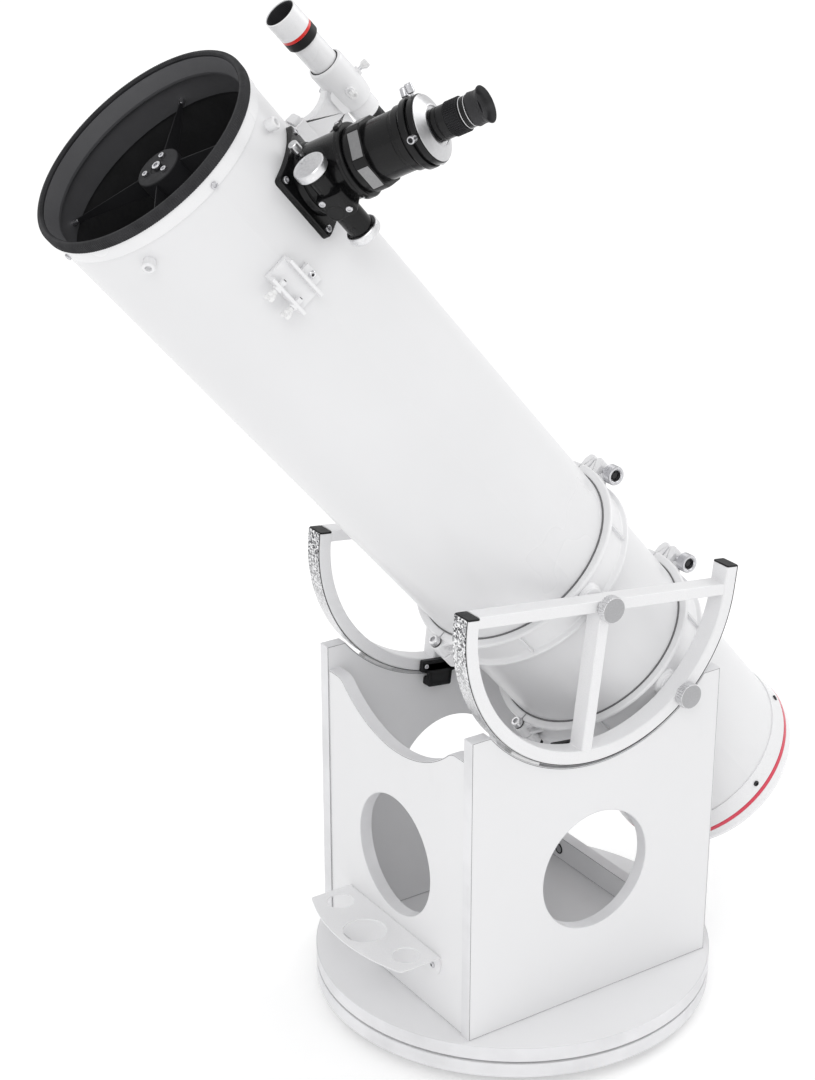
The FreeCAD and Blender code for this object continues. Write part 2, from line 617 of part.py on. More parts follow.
def make_spider():
    """Four vanes hold the secondary's hub, pulled tight by round nuts outside the tube."""
    bore = "tube_radius - tube_wall - 2.5"
    vanes = []
    nuts = []
    spot = ("0", "spider_place")
    for angle in (45, 135, 225, 315):
        blade = common(box(("hub_radius", bore), ("-0.5", "0.5"),
                           ("spider_place - 11", "spider_place + 11")),
                       cylinder("40", "hub_radius - 1", bore + " + 1", "x", spot))
        stud = cylinder("2", bore + " - 8", "tube_radius + 4", "x", spot)
        vanes.append(placed(fuse(blade, stud), turn(AXIS_Z, angle)))
        nut = cut(cylinder("6.5", "tube_radius", "tube_radius + 10", "x", spot),
                  cylinder("2", "tube_radius - 1", "tube_radius + 4", "x", spot),
                  cylinder("3.2", "tube_radius + 6", "tube_radius + 11", "x", spot))
        nuts.append(placed(nut, turn(AXIS_Z, angle)))
    part("spider_vanes", group(*vanes), TUBE)
    part("spider_nuts", group(*nuts), TUBE)
    part("spider_hub", cylinder("hub_radius", "spider_place - 14", "spider_place + 14"), TUBE)
    # the flat mirror faces the focuser and the primary, at half a right angle to the tube
    heading = turn(AXIS_Z, value("focuser_angle"))
    centre = Placement(Vector(0, 0, value("focuser_place")), Rotation(AXIS_Y, 45))
    flat = common(placed(box(("-60", "60"), ("-60", "60"), ("0", "6")), centre),
                  cylinder("secondary_radius", "focuser_place - 60", "focuser_place + 60"))
    part("secondary_mirror", placed(flat, heading), TUBE)
    wedge = common(placed(box(("-80", "80"), ("-60", "60"), ("6", "90")), centre),
                   cylinder("secondary_radius - 1.5", "focuser_place - 60", "spider_place - 24"))
    part("secondary_holder", placed(wedge, heading), TUBE)


def secondary_screws():
    """A centre bolt and three tilting screws between the hub and the secondary's holder."""
    back, front = "spider_place - 14", "spider_place + 14"
    screws = [cylinder("3", "spider_place - 24", back), cylinder("5", front, front + " + 3.5")]
    for angle in (0, 120, 240):
        spot = ("14 * cos(%d)" % angle, "14 * sin(%d)" % angle)
        screws.append(cylinder("2", "spider_place - 24", back, "z", spot))
        screws.append(cylinder("3.2", front, front + " + 3", "z", spot))
    return screws


# ---------------------------------------------------------------- focuser
def make_focuser():
    """A Crayford focuser: a round shaft pressed on the drawtube rolls it in and out."""
    bore = "drawtube_radius + free_gap"
    saddle = common(box(("tube_radius - 12", "base_top"), ("-base_half", "base_half"),
                        ("-base_half - 1.5", "base_half + 1.5")),
                    cylinder("tube_radius + plate_thickness", "-90", "90"))
    collar = cylinder("barrel_radius + 2", "tube_radius - 3", "base_top + 3", "x")
    part("focuser_base", cut(fuse(saddle, collar), cylinder("tube_radius", "-90", "90"),
                             cylinder(bore, "90", "base_top + 4", "x")), FOCUSER)
    beside = ("shaft_level", "-shaft_offset")
    housing = fuse(cylinder("housing_radius", "-far_knob + 0.6", "2", "z", beside),
                   cylinder("neck_radius", "0", "near_knob - 0.6", "z", beside),
                   box(("base_top + 9", "shaft_level + 17.5"), ("-shaft_offset - 14.5", "-24"), ("-22", "7.5")))
    barrel = fuse(cylinder("barrel_radius", "base_top + 3", "barrel_end", "x"),
                  cylinder("barrel_radius + 3.5", "barrel_end - 7", "barrel_end", "x"), housing)
    tension_at = ("tension_level", "tension_offset")
    part("focuser_body", cut(barrel, cylinder(bore, "base_top", "barrel_end + 1", "x"),
                             cylinder("2.5 + running_gap", "26", "40", "z", tension_at),
                             cylinder("shaft_radius + running_gap", "-60", "60", "z", beside)), FOCUSER)
    knobs = [cylinder("focus_knob_radius", low, high, "z", beside)
             for low, high in (("-far_knob - focus_knob_depth", "-far_knob"),
                               ("near_knob", "near_knob + focus_knob_depth"))]
    shaft = cylinder("shaft_radius", "-far_knob - 5", "near_knob + 5", "z", beside)
    part("focus_knobs", fuse(shaft, *knobs), FOCUSER)
    part("tension_screw", fuse(cylinder("2.5", "30.8", "44", "z", tension_at),
                               cylinder("5", "37", "49", "z", tension_at)), FOCUSER)
    flange_low, flange_high = "barrel_end + 7", "barrel_end + 7 + flange_width"
    flats = [placed(box((flange_low + " - 1", flange_high + " + 1"), ("-flange_flat", "flange_flat"),
                        ("-flange_reach - 4", "flange_reach + 4")), turn(AXIS_X, angle))
             for angle in (FLAT_TURN, FLAT_TURN + 60, FLAT_TURN + 120)]
    flange = fuse(common(cylinder("flange_reach", flange_low, flange_high, "x"), *flats),
                  cylinder("drawtube_radius + 3", "barrel_end + free_gap", flange_low, "x"))
    part("drawtube", cut(fuse(cylinder("drawtube_radius", "112", "holder_start + 2", "x"), flange),
                         cylinder("drawtube_bore", "100", "holder_start + 3", "x")), FOCUSER)
    make_holder()


def make_holder():
    """The rings and screws at the drawtube's end that hold the adapter, and the eyepiece in it."""
    part("drawtube_clamp", cut(fuse(cylinder("35", "holder_start + 2", "holder_start + 9", "x"),
                                    cylinder("31", "holder_start + 9", "holder_start + 13", "x"),
                                    cylinder("34", "holder_start + 13", "holder_end", "x")),
                               cylinder("drawtube_bore", "holder_start", "holder_end + 1", "x")), FOCUSER)
    adapter = fuse(cylinder("drawtube_bore - 0.1", "holder_start - 12", "holder_end", "x"),
                   cylinder("33", "holder_end", "holder_end + 7", "x", top="21"))
    part("eyepiece_adapter", cut(adapter, cylinder("eyepiece_radius + running_gap", "200",
                                                   "holder_end + 8", "x")), FOCUSER)
    grips = []
    for place, angle in (("holder_start + 5", -170), ("holder_start + 5", -50), ("holder_end - 4", 60),
                         ("holder_end - 4", -30)):
        grips.append(placed(fuse(cylinder("1.8", "30", "38", "z", (place, "0")),
                                 cylinder("3.8", "36", "46", "z", (place, "0"))), turn(AXIS_X, angle)))
    part("clamp_screws", group(*grips), FOCUSER)
    body = fuse(cylinder("eyepiece_radius", "holder_end - 26", "holder_end + 8", "x"),
                cylinder("16.4", "holder_end + 7.3", "holder_end + 22", "x"),
                cylinder("17.2", "holder_end + 22", "holder_end + 37", "x"),
                cylinder("15.6", "holder_end + 37", "eyepiece_end - 14", "x"))
    part("eyepiece", cut(body, cylinder("10", "holder_end - 27", "eyepiece_end - 17", "x")), FOCUSER)
    part("eyecup", cut(cylinder("16.6", "eyepiece_end - 14", "eyepiece_end", "x", top="18.6"),
                       cylinder("10", "eyepiece_end - 15", "eyepiece_end + 0.5", "x", top="16")), FOCUSER)


# ---------------------------------------------------------------- finder and shoes
def make_finder():
    shield = fuse(cylinder("shield_radius", "62", "shield_end"), cylinder("finder_radius", "-44", "62.5"),
                  cylinder("finder_radius - 2.5", "-62", "-44"))
    part("finder_tube", cut(shield, cylinder("shield_radius - 1.2", "76", "shield_end + 1"),
                            cylinder("finder_radius - 1.5", "-55", "72"),
                            cylinder("6", "-63", "-54")), FINDER)
    foot_top = "tube_radius + 10 - finder_level"
    stalk = cut(box((foot_top, "-bracket_bore - 1"), ("-6", "6"), ("-45", "10")),
                cylinder("30", "-7", "7", "y", ("-40", "30.5")),
                cylinder("22", "-7", "7", "y", ("-42", "-48")))
    rail = placed(box(("tube_radius + 5.2", "tube_radius + 16"), ("-9", "9"), ("-29", "29")),
                  FINDER.inverse() * FINDER_SHOE)
    sleeve = fuse(cylinder("bracket_radius", "-10", "28"),
                  cylinder("bracket_bore + 1", "-26", "-10", top="bracket_radius"))
    part("finder_bracket", cut(fuse(sleeve, stalk, rail), cylinder("bracket_bore", "-30", "29")), FINDER)


def thumb_screw(reach, head):
    """A white thumb screw along +X: a shank up to its reach and a round head beyond."""
    return fuse(cylinder("2", "%s - 8" % reach, reach, "x"),
                cylinder("4.5", reach, "%s + %s" % (reach, head), "x"))


def shoe():
    """A channel with one screwed ear, saddled on the tube; its own +X points off the tube."""
    base = cut(fuse(box(("tube_radius - 4", "tube_radius + 5"), ("-shoe_half_width", "shoe_half_width"),
                        ("-shoe_half_length", "shoe_half_length")),
                    box(("tube_radius - 4", "tube_radius + 3.5"), ("shoe_half_width - 1", "shoe_ear"),
                        ("-20", "3"))),
               cylinder("tube_radius", "-50", "50"))
    walls = [box(("tube_radius + 4", "tube_radius + shoe_height"), ends,
                 ("-shoe_half_length", "shoe_half_length"))
             for ends in (("-shoe_half_width", "-shoe_half_width + shoe_wall"),
                          ("shoe_half_width - shoe_wall", "shoe_half_width"))]
    return fuse(base, *walls)


def make_shoes():
    foot_frame = TUBE.inverse() * FINDER_SHOE
    accessory_frame = TUBE.inverse() * ACCESSORY
    part("dovetail_shoes", group(placed(shoe(), foot_frame), placed(shoe(), accessory_frame)), TUBE)
    screws = []
    for frame, heading in ((foot_frame, 90), (accessory_frame, -90)):
        for place in (-13, 13):
            shank = Placement(Vector(value("tube_radius + 11"), 0, place), Rotation(AXIS_Z, heading))
            screws.append(placed(placed(thumb_screw("shoe_half_width + 3.4", "12"), shank), frame))
    finder_frame = TUBE.inverse() * FINDER
    for angle in (-12, -102):
        spin = Placement(Vector(0, 0, -4), Rotation(AXIS_Z, angle))
        screws.append(placed(placed(thumb_screw("bracket_radius + 5.3", "8"), spin), finder_frame))
    part("thumb_screws", group(*screws), TUBE)


# ---------------------------------------------------------------- build, check and write
def build_all():
    make_base()
    make_bearing()
    make_rocker_fittings()
    make_side_panels()
    make_cross_boards()
    make_tray()
    make_rocker_screws()
    make_side_frames()
    make_side_guides()
    make_cradle_rings()
    make_cradle_screws()
    make_tube()
    make_tube_screws()
    make_mirror()
    make_spider()
    make_focuser()
    make_finder()
    make_shoes()


def check_and_write():
    doc.recompute()
    for item in doc.Objects:
        if "Invalid" in item.State or "Error" in item.State:
            raise RuntimeError("%s (%s) did not build" % (item.Name, item.Label))
    names = [item.Label for item in nodes]
    if len(set(names)) != len(names):
        raise RuntimeError("two sub-parts share a name")
    os.makedirs("parts", exist_ok=True)
    for item in nodes:
        if item.Shape.isNull() or not item.Shape.isValid() or not item.Shape.Solids:
            raise RuntimeError("%s has no valid solid" % item.Label)
        item.Shape.exportStep("parts/%s.step" % item.Label)
    print("%d sub-parts" % len(nodes))


build_all()
check_and_write()
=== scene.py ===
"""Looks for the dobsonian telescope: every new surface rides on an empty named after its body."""
import math
import random
import bmesh
import bpy
from mathutils import Matrix, Vector


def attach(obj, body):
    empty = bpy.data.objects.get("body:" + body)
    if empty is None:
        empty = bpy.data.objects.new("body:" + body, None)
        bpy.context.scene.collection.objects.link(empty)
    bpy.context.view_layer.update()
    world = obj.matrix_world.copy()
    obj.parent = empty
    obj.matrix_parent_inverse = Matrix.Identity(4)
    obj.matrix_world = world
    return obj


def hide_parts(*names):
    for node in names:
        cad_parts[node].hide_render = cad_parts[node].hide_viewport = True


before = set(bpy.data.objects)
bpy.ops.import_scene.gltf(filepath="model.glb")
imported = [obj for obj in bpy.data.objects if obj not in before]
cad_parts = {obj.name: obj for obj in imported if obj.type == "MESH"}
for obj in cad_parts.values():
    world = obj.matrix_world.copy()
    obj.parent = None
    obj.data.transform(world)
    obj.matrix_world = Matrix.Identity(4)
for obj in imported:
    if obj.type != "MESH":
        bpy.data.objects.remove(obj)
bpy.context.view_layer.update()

# The same sizes as the CAD source, in millimetres; meshes are drawn in millimetres in a local frame.
MM = 0.001
AXIS_HEIGHT = 560.6
TUBE_TILT = 90 - 48.9
FRAME_TILT = -6.8
TUBE_R, TUBE_BORE = 121.0, 119.5
TUBE_FRONT, TUBE_REAR, RIM = 676.0, -412.0, 702.0
RINGS = (0.0, -182.0)
CLAMP_R, HINGE_R = 142.6, 138.0
ARC_R, ARC_DEPTH, ARC_IN, ARC_OUT = 189.0, 16.0, 137.0, 163.0
FRONT_RISE, REAR_RISE = 6.8, 30.0
BAR_LOW, BAR_HIGH, POST_HALF = -6.2, 7.8, 7.25
BOARD_R, BOARD = 245.0, 18.0
FEET_TOP, BEARING_GAP = 16.2, 3.3
FLOOR_LOW = FEET_TOP + BOARD + BEARING_GAP
FLOOR_TOP = FLOOR_LOW + BOARD
PANEL_OUT, PANEL, PANEL_HALF, PANEL_TOP = 159.0, 16.0, 177.0, 439.6
PANEL_IN = PANEL_OUT - PANEL
WINDOW_R, WINDOW_Z = 76.0, 226.0
FRONT_FACE = PANEL_HALF - 1.5
SPIDER, FOCUS = 658.0, 588.0
FINDER_PLACE, FINDER_ANGLE, FINDER_LEVEL, FINDER_PITCH = 592.0, 85.6, 192.8, -2.6
FOOT_PLACE, FINDER_SCREWS = 574.0, (-12, -102)
PLATE, PLATE_Y, PLATE_Z, BORE = 6.0, 40.0, 41.5, 30.3
SHAFT_X, SHAFT_Y, NEAR_KNOB, FAR_KNOB = 151.3, -33.5, 30.6, 48.2
FLAT, FLAT_TURN, HOLDER, EYE_END = 33.0, 2.0, 238.0, 320.0
SHOE_PLACE, SHOE_ANGLE = 550.0, -4.0


def spin(axis, degrees):
    return Matrix.Rotation(math.radians(degrees), 4, axis)


def shift(x, y, z):
    return Matrix.Translation(Vector((x, y, z)))


WORLD = Matrix.Identity(4)
AXIS = shift(0, 0, AXIS_HEIGHT)
CRADLE = AXIS @ spin("X", FRAME_TILT)
TUBE = AXIS @ spin("X", TUBE_TILT)
# in these frames +X points straight out of the tube and +Z towards its open end
FOCUSER = TUBE @ shift(0, 0, FOCUS) @ spin("Z", 42)
DRAW_AXIS = FOCUSER @ spin("Y", 90)    # the same frame, with +Z out along the drawtube
FOOT = TUBE @ shift(0, 0, FOOT_PLACE) @ spin("Z", FINDER_ANGLE)
FINDER = (TUBE @ shift(0, 0, FINDER_PLACE) @ spin("Z", FINDER_ANGLE) @
          shift(FINDER_LEVEL, 0, 0) @ spin("Y", FINDER_PITCH))
SHOE = TUBE @ shift(0, 0, SHOE_PLACE) @ spin("Z", SHOE_ANGLE)
# turns a shape drawn about Z so that it stands along X
ALONG_X = spin("Y", 90)


# ---------------------------------------------------------------- shapes: (vertices, faces) in millimetres
def arc(cx, cy, radius, start, end, steps):
    """Points along an arc, angles in degrees."""
    turn = [math.radians(start + (end - start) * i / steps) for i in range(steps + 1)]
    return [(cx + radius * math.cos(a), cy + radius * math.sin(a)) for a in turn]


def rounded(points, radius, closed=True, steps=3):
    """The outline with its corners rounded; a point may carry its own radius as a third value."""
    count = len(points)
    out = []
    for i, point in enumerate(points):
        here = Vector(point[:2])
        size = point[2] if len(point) > 2 else radius
        if size <= 0 or (not closed and i in (0, count - 1)):
            out.append(tuple(here))
            continue
        back = Vector(points[i - 1][:2]) - here
        ahead = Vector(points[(i + 1) % count][:2]) - here
        if back.length < 1e-6 or ahead.length < 1e-6:
            continue
        angle = back.angle(ahead)
        if angle > math.radians(172) or angle < math.radians(4):
            out.append(tuple(here))
            continue
        reach = min(size / math.tan(angle / 2), back.length * 0.48, ahead.length * 0.48)
        radius_here = reach * math.tan(angle / 2)
        middle = (back.normalized() + ahead.normalized()).normalized()
        centre = here + middle * (radius_here / math.sin(angle / 2))
        first = here + back.normalized() * reach - centre
        last = here + ahead.normalized() * reach - centre
        sweep_angle = math.atan2(first.cross(last), first.dot(last))
        for k in range(steps + 1):
            spoke = first.copy()
            spoke.rotate(Matrix.Rotation(sweep_angle * k / steps, 2))
            out.append(tuple(centre + spoke))
    return out


def lathe(profile, steps=96, start=0.0, sweep_angle=360.0, shape=None, closed=True):
    """A profile of (radius, height) points turned about Z; shape(angle, radius, height) may move a radius."""
    full = sweep_angle >= 360
    rows = steps if full else steps + 1
    count = len(profile)
    verts, faces = [], []
    for i in range(rows):
        angle = math.radians(start + sweep_angle * i / steps)
        for radius, height in profile:
            r = shape(angle, radius, height) if shape else radius
            verts.append((r * math.cos(angle), r * math.sin(angle), height))
    for i in range(steps):
        a, b = i * count, ((i + 1) % rows) * count
        for j in range(count if closed else count - 1):
            k = (j + 1) % count
            faces.append((a + j, b + j, b + k, a + k))
    if closed and not full:
        faces.append(tuple(range(count)))
        faces.append(tuple(reversed(range(steps * count, (steps + 1) * count))))
    return verts, faces


def ring(profile, corner, steps=96, shape=None):
    """A turned ring whose profile has its corners rounded."""
    return lathe(rounded(profile, corner), steps, shape=shape)


def solid_lathe(profile, steps=64, shape=None):
    """A turned solid whose open profile starts and ends on the axis."""
    verts, faces = lathe(profile[1:-1], steps, shape=shape, closed=False)
    count = len(profile) - 2
    for end, row in ((profile[0], 0), (profile[-1], count - 1)):
        verts.append((0, 0, end[1]))
        tip = len(verts) - 1
        for i in range(steps):
            a, b = i * count + row, ((i + 1) % steps) * count + row
            faces.append((tip, b, a) if row == 0 else (tip, a, b))
    return verts, faces


def turned(profile, corner, steps=64, shape=None):
    """A turned solid whose profile, from axis to axis, has its corners rounded."""
    return solid_lathe(rounded(profile, corner, closed=False), steps, shape)


def flutes(number, depth, low, high, power=1.0):
    """A shape() that cuts grooves round a rim between two heights."""
    def change(angle, radius, height):
        if low <= height <= high:
            return radius - depth * (0.5 + 0.5 * math.cos(number * angle)) ** power
        return radius
    return change


def disc(radius, low, high, edge=0.6, steps=48, dish=0.0, inner=0.0):
    """A round boss with rounded edges; it may have a dished face or a hole."""
    if inner > 0:
        return ring([(inner, low), (radius, low), (radius, high), (inner, high)], edge, steps)
    top = [(radius, high)] if dish == 0 else [(radius, high), (radius * 0.84, high),
                                              (radius * 0.8, high - dish)]
    profile = rounded([(0, low), (radius, low)] + top + [(0, high - dish)], edge, closed=False)
    return solid_lathe(profile, steps)


def loops(rings_of_points, close_ends=True):
    """Skin over loops of the same number of points."""
    count = len(rings_of_points[0])
    verts = [tuple(p) for loop in rings_of_points for p in loop]
    faces = []
    for i in range(len(rings_of_points) - 1):
        a, b = i * count, (i + 1) * count
        for j in range(count):
            k = (j + 1) % count
            faces.append((a + j, a + k, b + k, b + j))
    if close_ends:
        faces.append(tuple(reversed(range(count))))
        last = (len(rings_of_points) - 1) * count
        faces.append(tuple(range(last, last + count)))
    return verts, faces


def inset(points, distance):
    """A closed outline moved inwards (it runs anticlockwise)."""
    out = []
    count = len(points)
    for i in range(count):
        before, here, after = (Vector(points[j % count]) for j in (i - 1, i, i + 1))
        one, two = (here - before).normalized(), (after - here).normalized()
        left, right = Vector((-one.y, one.x)), Vector((-two.y, two.x))
        middle = (left + right).normalized()
        out.append(tuple(here + middle * (distance / max(0.3, middle.dot(left)))))
    return out


def slab(outline, low, high, edge=0.5, steps=2):
    """A plate with rounded edges over an outline in XY, from low to high along Z."""
    rows = []
    for k in range(steps + 1):
        a = math.pi / 2 * k / steps
        rows.append((edge * (1 - math.sin(a)), low + edge * (1 - math.cos(a))))
    rows += [(depth, low + high - level) for depth, level in reversed(rows)]
    return loops([[(x, y, level) for x, y in (inset(outline, depth) if depth > 1e-6 else outline)]
                  for depth, level in rows])


def plate(outline, holes, low, high, edge=0.5):
    """A plate with rounded edges and holes, from a filled 2D curve."""
    curve = bpy.data.curves.new("outline", "CURVE")
    curve.dimensions = "2D"
    curve.fill_mode = "BOTH"
    curve.extrude = (high - low) / 2 - edge
    curve.bevel_depth = edge
    curve.bevel_resolution = 1
    curve.offset = -edge
    for points in [outline] + list(holes):
        line = curve.splines.new("POLY")
        line.points.add(len(points) - 1)
        for point, (x, y) in zip(line.points, points):
            point.co = (x, y, 0, 1)
        line.use_cyclic_u = True
    holder = bpy.data.objects.new("outline", curve)
    mesh = bpy.data.meshes.new_from_object(holder)
    middle = (low + high) / 2
    verts = [(v.co.x, v.co.y, v.co.z + middle) for v in mesh.vertices]
    faces = [tuple(p.vertices) for p in mesh.polygons]
    bpy.data.objects.remove(holder)
    bpy.data.curves.remove(curve)
    bpy.data.meshes.remove(mesh)
    return verts, faces


def circle(cx, cy, radius, steps=96):
    return arc(cx, cy, radius, 0, 360 - 360 / steps, steps - 1)


def six_sided(reach):
    """The corners of a nut's outline."""
    return [(reach * math.cos(math.radians(60 * k)), reach * math.sin(math.radians(60 * k)))
            for k in range(6)]


def block(x, y, z, edge=0.6, corner=None):
    """A box with rounded edges; corner rounds the four edges along Z."""
    outline = rounded([(x[0], y[0]), (x[1], y[0]), (x[1], y[1]), (x[0], y[1])],
                      edge if corner is None else corner)
    return slab(outline, z[0], z[1], min(edge, (z[1] - z[0]) * 0.45))


def sweep(path, section):
    """A section of (u, v) points carried along (point, u direction, v direction) stations."""
    return loops([[Vector(p) + Vector(u) * a + Vector(v) * b for a, b in section] for p, u, v in path])


def moved(shape_data, matrix):
    verts, faces = shape_data
    flip = matrix.determinant() < 0
    return ([tuple(matrix @ Vector(v)) for v in verts],
            [tuple(reversed(f)) if flip else f for f in faces])


MIRROR_X = Matrix.Diagonal((-1, 1, 1, 1))
SIDES = (("right", WORLD), ("left", MIRROR_X))
# edges sharper than this stay crisp when a mesh is shaded smooth
SHARP_ANGLE = math.radians(35.0)


def both_sides(shapes):
    """The shapes and their mirror images across X = 0."""
    return list(shapes) + [moved(s, MIRROR_X) for s in shapes]


def piece(name, shapes, placing, material, replaces=(), body="tube_assembly"):
    """Joins shapes into one mesh in the shared frame, and rides it on a body."""
    verts, faces = [], []
    for shape_verts, shape_faces in shapes:
        base = len(verts)
        verts.extend(shape_verts)
        faces.extend(tuple(base + i for i in face) for face in shape_faces)
    mesh = bpy.data.meshes.new(name)
    mesh.from_pydata([tuple((placing @ Vector(v)) * MM) for v in verts], [], faces)
    work = bmesh.new()
    work.from_mesh(mesh)
    bmesh.ops.remove_doubles(work, verts=work.verts, dist=1e-6)
    bmesh.ops.dissolve_degenerate(work, edges=work.edges, dist=1e-7)
    bmesh.ops.recalc_face_normals(work, faces=work.faces)
    work.to_mesh(mesh)
    work.free()
    mesh.shade_smooth()
    mesh.set_sharp_from_angle(angle=SHARP_ANGLE)
    mesh.materials.append(material)
    thing = bpy.data.objects.new(name, mesh)
    bpy.context.scene.collection.objects.link(thing)
    normals = thing.modifiers.new("normals", "WEIGHTED_NORMAL")
    normals.keep_sharp = True
    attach(thing, body)
    if replaces:
        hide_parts(*replaces)
    return thing


# ---------------------------------------------------------------- materials
class Nodes:
    """A short way to build a material's node tree."""

    def __init__(self, name):
        self.material = bpy.data.materials.new(name)
        self.material.use_nodes = True
        self.tree = self.material.node_tree
        self.shader = next(n for n in self.tree.nodes if n.type == "BSDF_PRINCIPLED")
        self.place = self.add("ShaderNodeTexCoord").outputs["Object"]

    def add(self, kind, **settings):
        node = self.tree.nodes.new(kind)
        for key, val in settings.items():
            setattr(node, key, val)
        return node

    def link(self, out, into):
        self.tree.links.new(out, into)

    def put(self, **values):
        for key, val in values.items():
            self.shader.inputs[key.replace("_", " ")].default_value = val

    def noise(self, scale, detail=3.0, rough=0.5, stretch=None):
        node = self.add("ShaderNodeTexNoise")
        node.inputs["Scale"].default_value = scale
        node.inputs["Detail"].default_value = detail
        node.inputs["Roughness"].default_value = rough
        self.link(self.stretched(stretch) if stretch else self.place, node.inputs["Vector"])
        return node.outputs["Fac"]

    def stretched(self, scale):
        node = self.add("ShaderNodeMapping")
        node.inputs["Scale"].default_value = scale
        self.link(self.place, node.inputs["Vector"])
        return node.outputs["Vector"]

    def cells(self, scale, output="Color"):
        node = self.add("ShaderNodeTexVoronoi")
        node.inputs["Scale"].default_value = scale
        self.link(self.place, node.inputs["Vector"])
        return node.outputs[output]

    def ramp(self, value, *stops):
        node = self.add("ShaderNodeValToRGB")
        while len(node.color_ramp.elements) < len(stops):
            node.color_ramp.elements.new(0.5)
        for element, (at, colour) in zip(node.color_ramp.elements, stops):
            element.position = at
            element.color = (*colour, 1) if len(colour) == 3 else colour
        self.link(value, node.inputs["Fac"])
        return node.outputs["Color"]

    def grey(self, value, low, high, start=0.0, end=1.0):
        node = self.add("ShaderNodeMapRange")
        for key, val in (("From Min", start), ("From Max", end), ("To Min", low), ("To Max", high)):
            node.inputs[key].default_value = val
        self.link(value, node.inputs["Value"])
        return node.outputs["Result"]

    def math(self, operation, a, b=0.0):
        node = self.add("ShaderNodeMath", operation=operation)
        for socket, val in zip(node.inputs, (a, b)):
            if isinstance(val, (int, float)):
                socket.default_value = val
            else:
                self.link(val, socket)
        return node.outputs["Value"]

    def mix(self, factor, a, b):
        node = self.add("ShaderNodeMix", data_type="RGBA")
        self.link(factor, node.inputs[0])
        for socket, val in ((node.inputs[6], a), (node.inputs[7], b)):
            if isinstance(val, tuple):
                socket.default_value = (*val, 1)
            else:
                self.link(val, socket)
        return node.outputs[2]

    def bump(self, height, distance, strength=1.0, before=None):
        node = self.add("ShaderNodeBump")
        node.inputs["Distance"].default_value = distance
        node.inputs["Strength"].default_value = strength
        self.link(height, node.inputs["Height"])
        if before is not None:
            self.link(before, node.inputs["Normal"])
        return node.outputs["Normal"]

    def finish(self, colour=None, roughness=None, normal=None):
        for source, name in ((colour, "Base Color"), (roughness, "Roughness"), (normal, "Normal")):
            if source is not None:
                self.link(source, self.shader.inputs[name])
        return self.material


def tone(colour, amount):
    return tuple(max(0.0, min(1.0, c * amount)) for c in colour)


def painted(name, colour, roughness=0.3, grain=420.0, depth=0.00001, coat=0.25):
    """Sprayed paint: fine orange peel, a faint drift of tone and uneven gloss."""
    n = Nodes(name)
    drift = n.noise(5.0, 4.0)
    fine = n.noise(grain, 2.0)
    shade = n.ramp(drift, (0.3, tone(colour, 0.965)), (0.7, tone(colour, 1.015)))
    specks = n.grey(n.noise(900.0, 1.0), 0.985, 1.0, 0.35, 0.5)
    shade = n.mix(n.grey(specks, 1.0, 0.0, 0.985, 1.0), shade, tone(colour, 0.96))
    n.put(Coat_Weight=coat, Coat_Roughness=0.12, IOR=1.5)
    return n.finish(shade, n.grey(n.noise(9.0, 2.0), roughness - 0.02, roughness + 0.03, 0.3, 0.7),
                    n.bump(fine, depth, 0.4))


def laminate(name, colour):
    """Melamine-faced board: a very fine pebble texture and slight scuffs."""
    n = Nodes(name)
    drift = n.noise(3.5, 5.0)
    scuff = n.noise(38.0, 6.0, 0.7, stretch=(1, 1, 0.25))
    shade = n.ramp(drift, (0.25, tone(colour, 0.97)), (0.75, tone(colour, 1.01)))
    shade = n.mix(n.grey(scuff, 0.0, 0.35, 0.62, 0.8), shade, tone(colour, 0.93))
    pebble = n.bump(n.cells(1500.0, "Distance"), 0.00003, 0.5)
    return n.finish(shade, n.grey(scuff, 0.36, 0.52, 0.3, 0.7),
                    n.bump(n.noise(240.0, 3.0), 0.00005, 0.4, pebble))


def casting(name, colour):
    """Thickly painted die casting, a little lumpy under the paint."""
    n = Nodes(name)
    lump = n.noise(90.0, 3.0, 0.5)
    shade = n.ramp(n.noise(9.0, 4.0), (0.3, tone(colour, 0.95)), (0.7, tone(colour, 1.01)))
    n.put(Coat_Weight=0.2, Coat_Roughness=0.2)
    return n.finish(shade, n.grey(n.noise(11.0, 2.0), 0.32, 0.37, 0.3, 0.7), n.bump(lump, 0.00007, 0.4))


def metal(name, colour, roughness=0.3, grain=300.0, tint=0.12):
    """Bare metal with a fine grain and a few dull patches."""
    n = Nodes(name)
    lines = n.noise(grain, 3.0, 0.6)
    dull = n.noise(40.0, 4.0)
    shade = n.mix(n.grey(lines, 0.0, 1.0, 0.3, 0.7), tone(colour, 1 - tint), tone(colour, 1 + tint * 0.4))
    gloss = n.grey(n.math("ADD", lines, dull), roughness - 0.08, roughness + 0.12, 0.6, 1.4)
    n.put(Metallic=1.0)
    return n.finish(shade, gloss, n.bump(lines, 0.00002, 0.35))


